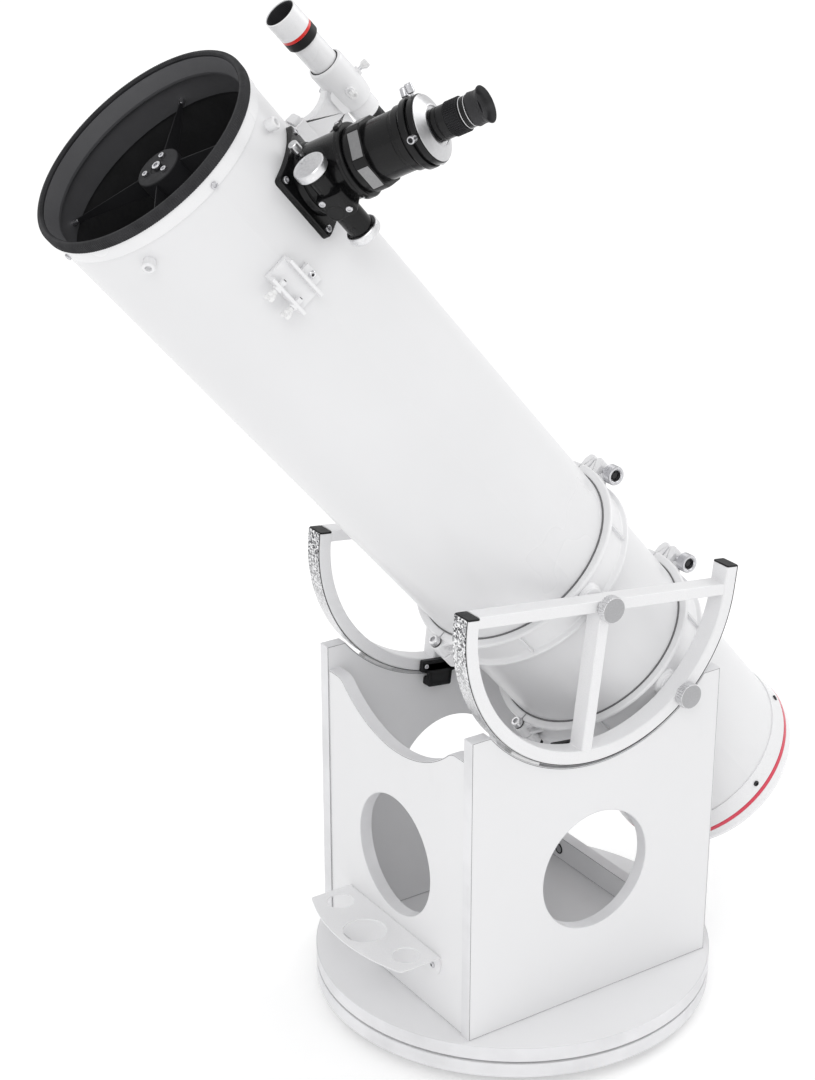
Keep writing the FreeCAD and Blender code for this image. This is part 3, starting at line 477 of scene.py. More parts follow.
def galvanised(name, low, high):
    """Hot-dip zinc: a coarse spangle above one height that fades to smooth metal below another."""
    n = Nodes(name)
    crystal = n.cells(520.0, "Color")
    parts = n.add("ShaderNodeSeparateColor")
    n.link(crystal, parts.inputs["Color"])
    spangle = n.ramp(parts.outputs["Red"], (0.18, (0.07, 0.07, 0.075)), (0.4, (0.3, 0.3, 0.31)),
                     (0.62, (0.6, 0.61, 0.62)), (0.85, (0.9, 0.9, 0.91)))
    smooth = n.ramp(n.noise(260.0, 3.0, 0.6, stretch=(1, 0.1, 0.1)), (0.3, (0.62, 0.62, 0.63)),
                    (0.7, (0.74, 0.74, 0.75)))
    height = n.add("ShaderNodeSeparateXYZ")
    n.link(n.place, height.inputs["Vector"])
    ragged = n.math("ADD", height.outputs["Z"], n.math("MULTIPLY", parts.outputs["Green"], 0.02))
    share = n.grey(ragged, 0.0, 1.0, low, high)
    n.put(Metallic=0.9)
    return n.finish(n.mix(share, smooth, spangle), n.grey(parts.outputs["Blue"], 0.2, 0.42),
                    n.bump(n.math("MULTIPLY", parts.outputs["Green"], share), 0.0001, 0.5))


def anodised(name, colour, roughness=0.28):
    """Dyed anodising over turned metal: dark, with soft bright streaks."""
    n = Nodes(name)
    lines = n.noise(520.0, 2.0, 0.5)
    cloud = n.noise(24.0, 4.0)
    shade = n.mix(n.grey(cloud, 0.0, 1.0, 0.3, 0.7), tone(colour, 0.8), tone(colour, 1.25))
    n.put(Metallic=0.1, Specular_IOR_Level=0.28, IOR=1.5)
    return n.finish(shade, n.grey(lines, roughness - 0.05, roughness + 0.08, 0.3, 0.7),
                    n.bump(lines, 0.00002, 0.3))


def rubber(name, colour, roughness=0.62):
    """Moulded rubber with a fine matt grain and paler bloom."""
    n = Nodes(name)
    bloom = n.noise(30.0, 5.0, 0.6)
    shade = n.mix(n.grey(bloom, 0.0, 1.0, 0.35, 0.75), tone(colour, 0.8), tone(colour, 1.5))
    n.put(Specular_IOR_Level=0.25)
    return n.finish(shade, n.grey(n.noise(90.0), roughness - 0.08, roughness + 0.12, 0.3, 0.7),
                    n.bump(n.noise(1400.0, 2.0), 0.00004, 0.6))


def moulded(name, colour, roughness=0.45, gloss=0.5):
    """Moulded plastic with a spark-eroded grain."""
    n = Nodes(name)
    n.put(Specular_IOR_Level=gloss)
    shade = n.ramp(n.noise(14.0, 4.0), (0.3, tone(colour, 0.9)), (0.7, tone(colour, 1.06)))
    return n.finish(shade, n.grey(n.noise(80.0), roughness - 0.06, roughness + 0.08, 0.3, 0.7),
                    n.bump(n.noise(1100.0, 2.0), 0.00003, 0.6))


def felted(name, colour):
    """Felt: soft fibres with a sheen."""
    n = Nodes(name)
    fibre = n.noise(1500.0, 6.0, 0.8)
    shade = n.mix(n.grey(fibre, 0.0, 1.0, 0.35, 0.65), tone(colour, 0.5), tone(colour, 1.8))
    n.put(Sheen_Weight=0.4)
    return n.finish(shade, n.grey(fibre, 0.85, 1.0), n.bump(fibre, 0.0003, 0.8))


def two_sided_tube(name, outside, inside):
    """White paint outside and flat black inside, told apart by the distance from the tube's axis."""
    n = Nodes(name)
    offset = n.add("ShaderNodeVectorMath", operation="SUBTRACT")
    offset.inputs[1].default_value = (0, 0, AXIS_HEIGHT * MM)
    n.link(n.place, offset.inputs[0])
    cross = n.add("ShaderNodeVectorMath", operation="CROSS_PRODUCT")
    cross.inputs[1].default_value = tuple(TUBE.to_3x3() @ Vector((0, 0, 1)))
    n.link(offset.outputs["Vector"], cross.inputs[0])
    reach = n.add("ShaderNodeVectorMath", operation="LENGTH")
    n.link(cross.outputs["Vector"], reach.inputs[0])
    outer = n.math("GREATER_THAN", reach.outputs["Value"], (TUBE_BORE + 0.75) * MM)
    drift = n.noise(4.0, 4.0)
    white = n.ramp(drift, (0.3, tone(outside, 0.975)), (0.7, tone(outside, 1.01)))
    black = n.ramp(n.noise(60.0, 4.0), (0.3, tone(inside, 0.8)), (0.7, tone(inside, 1.3)))
    gloss = n.grey(n.noise(7.0, 2.0), 0.27, 0.31, 0.3, 0.7)
    matt = n.grey(n.noise(200.0, 3.0), 0.6, 0.8, 0.3, 0.7)
    rough = n.add("ShaderNodeMix", data_type="FLOAT")
    for source, socket in ((outer, 0), (matt, 2), (gloss, 3)):
        n.link(source, rough.inputs[socket])
    n.put(IOR=1.5)
    return n.finish(n.mix(outer, black, white), rough.outputs[0],
                    n.bump(n.noise(300.0, 1.0), 0.000003, 0.2))


def coated_glass(name, colour, roughness=0.02):
    """Polished mirror or lens glass with the faintest dust."""
    n = Nodes(name)
    dust = n.noise(700.0, 5.0, 0.8)
    shade = n.mix(n.grey(dust, 0.0, 0.4, 0.6, 0.8), colour, tone(colour, 0.8))
    n.put(Metallic=1.0)
    return n.finish(shade, n.grey(dust, roughness, roughness + 0.1, 0.55, 0.8))


WHITE = (0.80, 0.80, 0.81)
PAINT = painted("white_paint", WHITE, 0.26)
# painted shade: the tube's outside white is set darker than WHITE, the white of the other painted parts, so
# the tube reads greyer
TUBE_PAINT = two_sided_tube("tube_paint", (0.745, 0.745, 0.755), (0.012, 0.012, 0.013))
POWDER = painted("powder_coat", WHITE, 0.36, 700.0, 0.00003, 0.1)
CAST = casting("cast_white", WHITE)
BOARD_WHITE = laminate("board_laminate", (0.78, 0.78, 0.79))
EDGE_BAND = moulded("edge_band", (0.74, 0.74, 0.755), 0.42)
WHITE_PLASTIC = moulded("white_plastic", (0.80, 0.80, 0.80), 0.4)
BLACK_PLASTIC = moulded("black_plastic", (0.012, 0.012, 0.013), 0.42, 0.22)
RUBBER = rubber("black_rubber", (0.022, 0.022, 0.024))
CAP_RUBBER = rubber("eyecup_rubber", (0.03, 0.03, 0.032), 0.45)
LINER = felted("liner_felt", (0.12, 0.12, 0.125))
FLAT_BLACK = moulded("flat_black", (0.018, 0.018, 0.02), 0.6, 0.25)
CONE_GREY = moulded("cone_grey", (0.075, 0.075, 0.08), 0.55)
BLACK_METAL = anodised("black_anodised", (0.006, 0.006, 0.0065), 0.2)
GLOSS_BLACK = anodised("gloss_black", (0.01, 0.01, 0.011), 0.12)
SILVER = metal("silver_anodised", (0.78, 0.78, 0.79), 0.3)
SATIN_GREY = metal("satin_grey", (0.42, 0.42, 0.43), 0.38, grain=500.0)
FLAT_GREY = metal("milled_flat", (0.3, 0.3, 0.305), 0.34, grain=500.0)
SEAM = moulded("board_seam", (0.13, 0.13, 0.135), 0.6, 0.2)
STEEL = metal("zinc_steel", (0.62, 0.62, 0.64), 0.28)
DARK_STEEL = metal("black_steel", (0.05, 0.05, 0.052), 0.35)
TURNED = metal("turned_metal", (0.6, 0.6, 0.61), 0.3, tint=0.08)
CHROME = metal("chrome", (0.85, 0.85, 0.87), 0.1, tint=0.05)
ZINC = galvanised("galvanised", 0.485, 0.575)
CRIMSON = painted("crimson", (0.62, 0.012, 0.055), 0.3)
SCARLET = painted("scarlet", (0.65, 0.02, 0.015), 0.3)
MIRROR = coated_glass("mirror_coating", (0.9, 0.92, 0.94))
LENS = coated_glass("lens_coating", (0.03, 0.035, 0.045), 0.03)


# ---------------------------------------------------------------- base, boards and tray
def board_disc(name, low, bore, body, node):
    """A round board with a faced top, a faced underside and a band round its edge."""
    band = 0.9
    core = rounded([(bore, low), (BOARD_R - band, low), (BOARD_R - band, low + BOARD),
                    (bore, low + BOARD)], 0.35)
    piece(name, [lathe(core, 256)], WORLD, BOARD_WHITE, [node], body=body)
    edge = rounded([(BOARD_R - band, low + 0.1), (BOARD_R, low + 0.1), (BOARD_R, low + BOARD - 0.1),
                    (BOARD_R - band, low + BOARD - 0.1)], 0.4)
    piece(name + "_band", [lathe(edge, 256)], WORLD, EDGE_BAND, body=body)


def banded_board(name, outline, holes, low, high, placing, node):
    """A flat board: its faced core, a thin band round its outline, and the dark glue line between them."""
    core = plate(inset(outline, 1.35), holes, low, high, 0.3)
    band = plate(outline, [inset(outline, 0.85)], low + 0.1, high - 0.1, 0.3)
    glue = plate(inset(outline, 0.6), [inset(outline, 1.6)], low + 0.35, high - 0.35, 0.1)
    piece(name, [core], placing, BOARD_WHITE, [node], body="rocker_box")
    piece(name + "_band", [band], placing, EDGE_BAND, body="rocker_box")
    piece(name + "_glue_line", [glue], placing, SEAM, body="rocker_box")


def window():
    return circle(0, WINDOW_Z, WINDOW_R)


def window_lining(placing, low, high, name):
    """The band glued round a window's edge."""
    outer, inner = WINDOW_R - 0.02, WINDOW_R - 0.8
    band = ring([(outer, low + 0.1), (outer, high - 0.1), (inner, high - 0.1), (inner, low + 0.1)],
                0.35, 128)
    piece(name, [band], placing @ shift(0, WINDOW_Z, 0), EDGE_BAND, body="rocker_box")


# sketch frames: local X and Y become the frame's Y and Z (side panels) or X and Z (cross boards)
SIDE_PLANE = Matrix(((0, 0, 1, 0), (1, 0, 0, 0), (0, 1, 0, 0), (0, 0, 0, 1)))
CROSS_PLANE = Matrix(((1, 0, 0, 0), (0, 0, -1, 0), (0, 1, 0, 0), (0, 0, 0, 1)))
SWAP_YZ = Matrix(((1, 0, 0, 0), (0, 0, 1, 0), (0, 1, 0, 0), (0, 0, 0, 1)))
SWAP_XY = Matrix(((0, 1, 0, 0), (1, 0, 0, 0), (0, 0, 1, 0), (0, 0, 0, 1)))


def make_boards():
    """The two round boards, the three panels and the low rail behind."""
    board_disc("lower_board", FEET_TOP, 6.05, "ground_base", "ground_board")
    board_disc("upper_board", FLOOR_LOW, 11.0, "rocker_box", "rotating_board")
    # side panels: a round cut-out leaves two flat shoulders
    cut_r = 194.0
    drop = AXIS_HEIGHT - PANEL_TOP
    start = math.degrees(math.atan2(-drop, math.sqrt(cut_r ** 2 - drop ** 2)))
    hollow = arc(0, AXIS_HEIGHT, cut_r, start, -180 - start, 72)
    side = [(-PANEL_HALF, FLOOR_TOP), (PANEL_HALF, FLOOR_TOP), (PANEL_HALF, PANEL_TOP), *hollow,
            (-PANEL_HALF, PANEL_TOP)]
    for name, low in (("left", -PANEL_OUT), ("right", PANEL_IN)):
        banded_board("side_board_" + name, side, [window()], low, low + PANEL, SIDE_PLANE,
                     "side_panel_" + name)
        window_lining(SIDE_PLANE, low, low + PANEL, "side_window_" + name)
    # the front panel's arch runs into its shoulders with a soft curve
    arch_r, arch_z, top = 169.0, 533.0, 410.0
    rise = arch_z - top
    knee = math.sqrt(arch_r ** 2 - rise ** 2)
    begin = math.degrees(math.atan2(-rise, knee))
    scoop = arc(0, arch_z, arch_r, begin - 6, -174 - begin, 56)
    front = rounded([(-PANEL_IN, FLOOR_TOP, 0), (PANEL_IN, FLOOR_TOP, 0), (PANEL_IN, top, 0),
                     (knee, top, 26)] + [(x, z, 0) for x, z in scoop]
                    + [(-knee, top, 26), (-PANEL_IN, top, 0)], 0, steps=8)
    banded_board("front_board", front, [window()], FRONT_FACE - PANEL, FRONT_FACE, CROSS_PLANE,
                 "front_panel")
    window_lining(CROSS_PLANE, FRONT_FACE - PANEL, FRONT_FACE, "front_window")
    rail_top = FLOOR_TOP + 33.5
    rail = [(-PANEL_IN, FLOOR_TOP), (PANEL_IN, FLOOR_TOP), (PANEL_IN, rail_top), (-PANEL_IN, rail_top)]
    banded_board("rear_rail", rail, [], -FRONT_FACE, -FRONT_FACE + PANEL, CROSS_PLANE, "rear_stretcher")


def make_feet_and_pivot():
    feet = []
    for angle in (30, 150, 270):
        spot = shift(200 * math.cos(math.radians(angle)), 200 * math.sin(math.radians(angle)), 0)
        pad = turned([(0, 0), (16, 0, 1.5), (17.2, 2.2, 0.8), (20, 15.6, 0.5), (20, FEET_TOP, 0.2),
                      (0, FEET_TOP)], 0.4, 48)
        ridges = [disc(17.9 + 0.7 * k, 4.0 + 3.6 * k, 5.4 + 3.6 * k, 0.5, 48) for k in range(3)]
        feet += [moved(s, spot) for s in [pad] + ridges]
    piece("feet", feet, WORLD, RUBBER, ["ground_feet"], body="ground_base")
    low = FLOOR_TOP + 2.3
    nut = plate(rounded(six_sided(11), 0.5), [circle(0, 0, 6.05, 32)], low, low + 8, 0.9)
    dome = ring([(6.05, low + 8), (9.2, low + 8), (8.2, low + 10.5, 1.5), (6.05, low + 10.7)], 0.4, 48)
    washer = ring([(6.05, FLOOR_TOP + 0.3), (17, FLOOR_TOP + 0.3), (17, low), (6.05, low)], 0.5, 64)
    piece("pivot_lock_nut", [nut, dome, washer], WORLD, STEEL, ["pivot_nut"],
          body="ground_base")
    threads = [(6.0 - 0.35 * (k % 2), FLOOR_TOP + 0.6 * k) for k in range(24)]
    head = [(0, 11.7), (8, 11.7, 1.5), (13.6, 15.4, 0.8), (13.8, FEET_TOP, 0.2), (6, FEET_TOP)]
    bolt = solid_lathe(rounded(head, 0.4, closed=False) + [(6.0, FLOOR_TOP)] + threads
                       + [(5.2, FLOOR_TOP + 15), (0, FLOOR_TOP + 15)], 48)
    piece("pivot_carriage_bolt", [bolt], WORLD, STEEL, ["pivot_bolt"], body="ground_base")


def make_tray():
    """Folded sheet steel: the shelf bows forward between rounded corners."""
    half, height, thick = 99.0, 137.0, 1.5
    near, far, bow = FRONT_FACE, FRONT_FACE + 56.0, 20.0
    radius = (half * half + bow * bow) / (2 * bow)
    centre = far + bow - radius
    angle = math.degrees(math.asin(half / radius))
    front = arc(0, -centre, radius, -90 - angle, -90 + angle, 40)
    shelf = rounded([(half, -near, 0.6), (-half, -near, 0.6), (*front[0], 12)] +
                    [(x, y, 0) for x, y in front[1:-1]] + [(*front[-1], 12)], 0.4, steps=6)
    holes = [circle(0, -near - 42, 25.8, 72)] + [circle(s * 72, -near - 31, 16.3, 56) for s in (-1, 1)]
    flange = rounded([(-half, height - 28, 14), (half, height - 28, 14), (half, height - 0.7, 0.2),
                      (-half, height - 0.7, 0.2)], 0.4, steps=8)
    fold = moved(plate(flange, [], near, near + thick, 0.35), CROSS_PLANE)
    bend = block((-half, half), (-near - thick, -near), (height - thick, height), 0.7)
    piece("eyepiece_tray", [plate(shelf, holes, height - thick, height, 0.4), fold, bend], WORLD, POWDER,
          ["accessory_tray"], body="rocker_box")


def pan_head(radius, height, recess="cross"):
    """A screw head along +Z, standing on z = 0, with a driver's recess."""
    dome = rounded([(0, 0), (radius, 0, 0.2), (radius * 0.93, height * 0.7, radius * 0.35),
                    (radius * 0.5, height), (radius * 0.42, height), (radius * 0.34, height * 0.4),
                    (0, height * 0.35)], 0.12, closed=False)
    if recess != "hex":
        return solid_lathe(dome, 32)
    flat = rounded([(0, 0), (radius, 0, 0.2), (radius, height, radius * 0.25), (radius * 0.56, height),
                    (radius * 0.5, height * 0.35), (0, height * 0.35)], 0.15, closed=False)

    def hexagon(angle, r, _):
        if r < radius * 0.6 and r > 0:
            return r / math.cos((angle % (math.pi / 3)) - math.pi / 6) * 0.9
        return r
    return solid_lathe(flat, 36, hexagon)


def cross_recess_shade(radius, height):
    """The four arms of a cross recess, as dark slot shapes just over the head's hollow: painted shade in the
    recess.
    """
    long, thin = (-radius * 0.5, radius * 0.5), (-radius * 0.1, radius * 0.1)
    depth = (height * 0.6, height * 0.98)
    return [block(long, thin, depth, 0.1), block(thin, long, depth, 0.1)]


def make_rocker_fittings():
    face = -FRONT_FACE - 1.5
    outward = spin("X", 90)
    screws = [shift(s * 84, face, 120) @ outward for s in (-1, 1)]
    heads = [moved(pan_head(4, 2.2), at) for at in screws]
    # dark crosses in the screw heads: painted shade in their recesses
    slot_shade = [moved(blade, at) for at in screws for blade in cross_recess_shade(4, 2.2)]
    piece("tray_screw_heads", heads, WORLD, STEEL, ["rocker_screws"], body="rocker_box")
    piece("tray_screw_recess_shade", slot_shade, WORLD, DARK_STEEL, body="rocker_box")
    inner = FRONT_FACE - PANEL
    spots = [(s * 117, inner, 71, spin("X", 90)) for s in (-1, 1)]
    spots += [(s * 117, -inner, z, spin("X", -90)) for s in (-1, 1) for z in (92, 378)]
    cams, rims = [], []
    for x, y, z, facing in spots:
        at = shift(x, y, z) @ facing
        rims.append(moved(disc(7.5, 0, 1.0, 0.3, 40, inner=5.6), at))
        cams.append(moved(disc(5.6, 0, 0.8, 0.25, 36, dish=0.35), at))
    piece("cam_rims", rims, WORLD, BLACK_PLASTIC, body="rocker_box")
    piece("cam_faces", cams, WORLD, SATIN_GREY, body="rocker_box")


# ---------------------------------------------------------------- cradle: arcs, bars and guides
def rounded_rectangle(low_u, high_u, low_v, high_v, corner):
    return rounded([(low_u, low_v), (high_u, low_v), (high_u, high_v), (low_u, high_v)], corner)


def arc_path(front, rear, steps=96):
    """Stations down the front leg, round the hoop and up the rear leg; u points inwards, v along +X."""
    path = [((0, -ARC_R, front), (0, 1, 0), (1, 0, 0))]
    for i in range(steps + 1):
        a = math.radians(180 + 180 * i / steps)
        path.append(((0, ARC_R * math.cos(a), ARC_R * math.sin(a)), (0, -math.cos(a), -math.sin(a)),
                     (1, 0, 0)))
    path.append(((0, ARC_R, rear), (0, -1, 0), (1, 0, 0)))
    return path


def make_side_frames():
    cap = 2.2
    section = rounded_rectangle(0, ARC_DEPTH, ARC_IN, ARC_OUT, 2.2)
    bar = rounded_rectangle(ARC_IN + 1, ARC_OUT - 1, BAR_LOW, BAR_HIGH, 1.8)
    post = rounded_rectangle(ARC_IN + 1, ARC_OUT - 1, -POST_HALF, POST_HALF, 1.8)
    inner = ARC_R - ARC_DEPTH
    for side, flip in SIDES:
        shapes = [sweep(arc_path(FRONT_RISE - cap, REAR_RISE - cap), section)]
        shapes.append(moved(slab(bar, -inner - 0.4, inner + 0.4, 0.2), SWAP_YZ))
        shapes.append(slab(post, -inner - 0.6, BAR_LOW + 0.4, 0.2))
        shapes += weld_beads()
        piece("arc_frame_" + side, [moved(s, flip) for s in shapes], CRADLE, POWDER,
              ["side_frame_" + side])
    caps, plugs = [], []
    for edge, rise, sign in ((-ARC_R, FRONT_RISE, 1), (ARC_R, REAR_RISE, -1)):
        low, high = sorted((edge, edge + sign * ARC_DEPTH))
        caps.append(block((ARC_IN, ARC_OUT), (low, high), (rise - cap, rise), 0.8, 2.2))
        plugs.append(block((ARC_IN + 2.6, ARC_OUT - 2.6), (low + 2.6, high - 2.6), (rise - 8, rise - cap),
                           0.3))
    piece("arc_end_caps", both_sides(caps + plugs), CRADLE, BLACK_PLASTIC,
          ["frame_caps"])
    path = arc_path(FRONT_RISE - 1.2, REAR_RISE - 1.2, 160)
    strip = [(-1.0, ARC_IN + 1.2), (-1.0, ARC_OUT - 1.2), (0.02, ARC_OUT - 1.2), (0.02, ARC_IN + 1.2)]
    rails = sweep(path, rounded(strip, 0.35, steps=2))
    piece("slide_strips", both_sides([rails]), CRADLE, ZINC, ["bearing_strips"])
    # a flat black band a little wider than the strip, showing along its edges on the arc: painted shadow
    # beside the strip
    edge_shadow_outline = [(-0.4, ARC_IN + 0.5), (-0.4, ARC_OUT - 0.5), (0.02, ARC_OUT - 0.5), (0.02, ARC_IN + 0.5)]
    edge_shadow_band = sweep(path, rounded(edge_shadow_outline, 0.1, steps=1))
    piece("strip_edge_shadow", both_sides([edge_shadow_band]), CRADLE, FLAT_BLACK)
    screws = []
    for rise, y, turn_to in ((FRONT_RISE - 9, -ARC_R - 0.9, 90), (REAR_RISE - 10, ARC_R + 0.9, -90)):
        for x, lower in ((ARC_OUT - 5.5, 4), (ARC_IN + 6, 0)):
            screws.append(moved(pan_head(2.3, 0.95), shift(x, y, rise - lower) @ spin("X", turn_to)))
    piece("strip_screws", both_sides(screws), CRADLE, STEEL)


def bead(points, radius=1.5, seed=0):
    """A lumpy weld bead along a run of points."""
    dice = random.Random(seed)
    rings_of_points = []
    for i, point in enumerate(points):
        ahead = Vector(points[min(i + 1, len(points) - 1)]) - Vector(points[max(i - 1, 0)])
        side = ahead.cross(Vector((0.31, 0.77, 0.55))).normalized()
        up = ahead.cross(side).normalized()
        r = radius * (0.85 + 0.3 * dice.random())
        rings_of_points.append([Vector(point) + (side * math.cos(a) + up * math.sin(a)) * r
                                for a in [math.pi / 4 * k for k in range(8)]])
    return loops(rings_of_points)


def run(a, b):
    """Points along a straight line."""
    return [Vector(a).lerp(Vector(b), i / 13) for i in range(14)]


def weld_beads():
    """Beads where the bar and the post meet the arc and each other."""
    near, far = ARC_IN + 2.5, ARC_OUT - 2.5
    inner = ARC_R - ARC_DEPTH
    beads = []
    for k, y in enumerate((-inner, inner)):
        for j, z in enumerate((BAR_LOW, BAR_HIGH)):
            if k == 0 and j == 1:
                continue
            beads.append(bead(run((near, y, z), (far, y, z)), 1.3, 10 * k + j))
    foot = -math.sqrt(inner ** 2 - POST_HALF ** 2)
    for j, y in enumerate((-POST_HALF, POST_HALF)):
        beads.append(bead(run((near, y, foot), (far, y, foot)), 1.3, 30 + j))
        beads.append(bead(run((near, y, BAR_LOW), (far, y, BAR_LOW)), 1.2, 40 + j))
    return beads


def make_guides():
    side = ARC_IN
    outline = rounded([(-17, -208, 3), (17, -208, 3), (17, -190, 1), (29, -187, 1.5), (29, -172, 2),
                       (-29, -172, 2), (-29, -187, 1.5), (-17, -190, 1)], 1.5, steps=4)
    body = moved(slab(outline, side - 7, side - 0.02, 1.2), SIDE_PLANE)
    rubbing = moved(slab(rounded_rectangle(-17, 17, -208, -197, 2.5), side - 1, PANEL_IN - 0.3, 0.8),
                    SIDE_PLANE)
    rim = moved(plate(inset(outline, 3.2), [inset(outline, 4.4)], side - 7.6, side - 6.8, 0.15),
                SIDE_PLANE)
    screws = [moved(pan_head(3.2, 1.8), shift(side - 6.9, y, -179.5) @ spin("Y", -90)) for y in (-23, 23)]
    piece("arc_guides", both_sides([body, rubbing, rim]), CRADLE, BLACK_PLASTIC,
          ["side_guides"])
    piece("arc_guide_screws", both_sides(screws), CRADLE, STEEL)


# ---------------------------------------------------------------- cradle rings, knobs and clamps
def half_ring(place, flip):
    """Half a ring: a channel casting with rolled rims, bosses, a clamp lug and its share of the hinge."""
    inner, web, rim, half = TUBE_R + 1.4, TUBE_R + 5.9, 133.0, 21.5
    profile = rounded([(inner, place - half, 0.8), (rim - 1.5, place - half, 2.4),
                       (rim, place - half + 4.5, 2.2), (web, place - half + 7.5, 2.5),
                       (web, place + half - 7.5, 2.5), (rim, place + half - 4.5, 2.2),
                       (rim - 1.5, place + half, 2.4), (inner, place + half, 0.8)], 1.0, steps=5)
    gap = math.degrees(math.asin(1.0 / inner))
    shapes = [lathe(profile, 90, -90 + gap, 180 - 2 * gap)]
    # ribs across the channel, and a pad that carries the arc's knob
    for angle in (-40, 40):
        rib = slab(rounded([(web - 1, -half + 3), (web - 1, half - 3), (rim - 3.2, half - 6),
                            (rim - 3.2, -half + 6)], 1.0), -1.3, 1.3, 0.6)
        shapes.append(moved(rib, spin("Z", angle) @ shift(0, 0, place) @ spin("X", 90)))
    pad = solid_lathe(rounded([(0, 118), (17.5, 124, 1), (16, 131.5, 3), (12.5, 134, 1.5),
                               (12.5, 137, 0.8), (0, 137)], 1.0, closed=False, steps=4), 56)
    shapes.append(moved(pad, shift(0, 0, place) @ ALONG_X))
    # the clamp lug stands over the ring, with a gusset down to the rims
    lug = rounded([(1, inner + 2, 0.5), (15, inner + 1, 1), (15.5, 144, 4), (12, 152.2, 5),
                   (4.5, 152.4, 3), (1, 149, 1)], 1.0, steps=4)
    shapes.append(slab(lug, place - 10, place + 10, 1.8))
    fin = rounded([(14, inner + 1, 1), (40, inner - 5, 1), (30, rim - 4, 3), (15, 143, 4)], 1.0, steps=4)
    shapes.append(slab(fin, place - 3, place + 3, 1.2))
    # the hinge arm: an open frame from the ring down to the pin's knuckle
    spans = [(place + 0.5, place + half - 2), (place - half + 2, place - 0.5)]
    low, high = spans[0] if flip is WORLD else spans[1]
    arm = rounded([(1.0, -HINGE_R), (8.6, -HINGE_R, 1), (22, -inner - 3, 2), (20, -inner + 1.5, 1),
                   (1.0, -inner - 0.4, 0.5)], 1.0)
    middle = (low + high) / 2
    shapes.append(slab(arm, low, low + 4.5, 0.8))
    shapes.append(slab(arm, high - 4.5, high, 0.8))
    shapes.append(slab(rounded([(1.0, -HINGE_R + 3), (7, -HINGE_R + 4), (9, -inner - 3), (1, -inner - 1)],
                               0.6), middle - 6, middle + 6, 0.4))
    shapes = [moved(s, flip) for s in shapes]
    knuckle = rounded([(4.0, low), (8.0, low), (8.0, high), (4.0, high)], 0.9)
    shapes.append(moved(lathe(knuckle, 40), shift(0, -HINGE_R, 0)))
    return shapes


def make_rings():
    for side, flip in SIDES:
        shapes = [s for place in RINGS for s in half_ring(place, flip)]
        piece("cradle_ring_" + side, shapes, TUBE, CAST, ["cradle_half_" + side])
    bolts, nuts = [], []
    for place in RINGS:
        at = shift(0, -HINGE_R, place)
        bolts.append(moved(disc(3.95, -24, 22, 0.3, 24), at))
        bolts.append(moved(pan_head(6.5, 6.5, "hex"), at @ shift(0, 0, 21.6)))
        nuts.append(moved(slab(rounded(six_sided(6.4), 0.4), -27.4, -21.6, 0.7), at))
        nuts.append(moved(disc(6.5, 19.6, 21.7, 0.3, 32, inner=4.1), at))
    piece("hinge_pins", bolts, TUBE, SILVER, ["hinge_bolts"])
    piece("hinge_nuts", nuts, TUBE, DARK_STEEL)


def thread(radius, low, high):
    """A threaded rod's side: ridges close enough to read as a thread."""
    pitch = 1.25
    count = int((high - low) / (pitch / 2))
    ridge = [(radius - (0.0 if k % 2 else pitch * 0.35), low + (high - low) * k / count)
             for k in range(count + 1)]
    return solid_lathe([(0, low)] + ridge + [(0, high)], 28)


def make_clamps():
    """Long clamp screws with a knurled, hollow-faced head."""
    for name, body, place in (("front", "clamp_front", RINGS[0]), ("rear", "clamp_rear", RINGS[1])):
        knurl = flutes(44, 0.75, 25.2, 36.8)
        head = turned([(0, 24), (9.5, 24, 0.8), (11.5, 25.4, 0.5), (11.5, 31, 0), (11.5, 36.4, 0.5),
                       (10.6, 38, 0.5), (8.4, 38, 0.5), (7.2, 36.5, 0.4), (7.0, 32.4, 0.5), (0, 32)],
                      0.4, 176, knurl)
        collar = disc(6.0, 18.0, 24.4, 0.8, 40)
        at = TUBE @ shift(0, CLAMP_R, place) @ ALONG_X
        piece("clamp_knob_" + name, [thread(3.35, -22, 18.5), collar, head], at, STEEL,
              ["clamp_screw_" + name], body=body)
        # the dark disc on the floor of the head's hollow and the dark hexagon over it: painted shade in the
        # hollow and its hex socket
        piece("clamp_socket_shade_" + name, [disc(6.9, 31.8, 32.8, 0.3, 48), disc(4.4, 32.6, 34.6, 0.6, 6)], at,
              DARK_STEEL, body=body)


def make_cradle_knobs():
    rims, faces = [], []
    for place in RINGS:
        at = shift(0, 0, place) @ ALONG_X
        edge = turned([(0, 163), (13.0, 163.2, 0.5), (15.5, 164.6, 0.6), (15.5, 175, 0.5),
                       (14.6, 175.7, 0.3), (0, 175.7)], 0.4, 180, flutes(30, 1.2, 164.4, 175.2, 0.6))
        rims.append(moved(edge, at))
        faces.append(moved(disc(14.3, 175.2, 176.0, 0.3, 64), at))
        rims.append(moved(disc(4.0, 130, 164, 0.3, 24), at))
    piece("knob_rims", both_sides(rims), TUBE, SILVER, ["cradle_knobs"])
    piece("knob_faces", both_sides(faces), TUBE, SATIN_GREY)


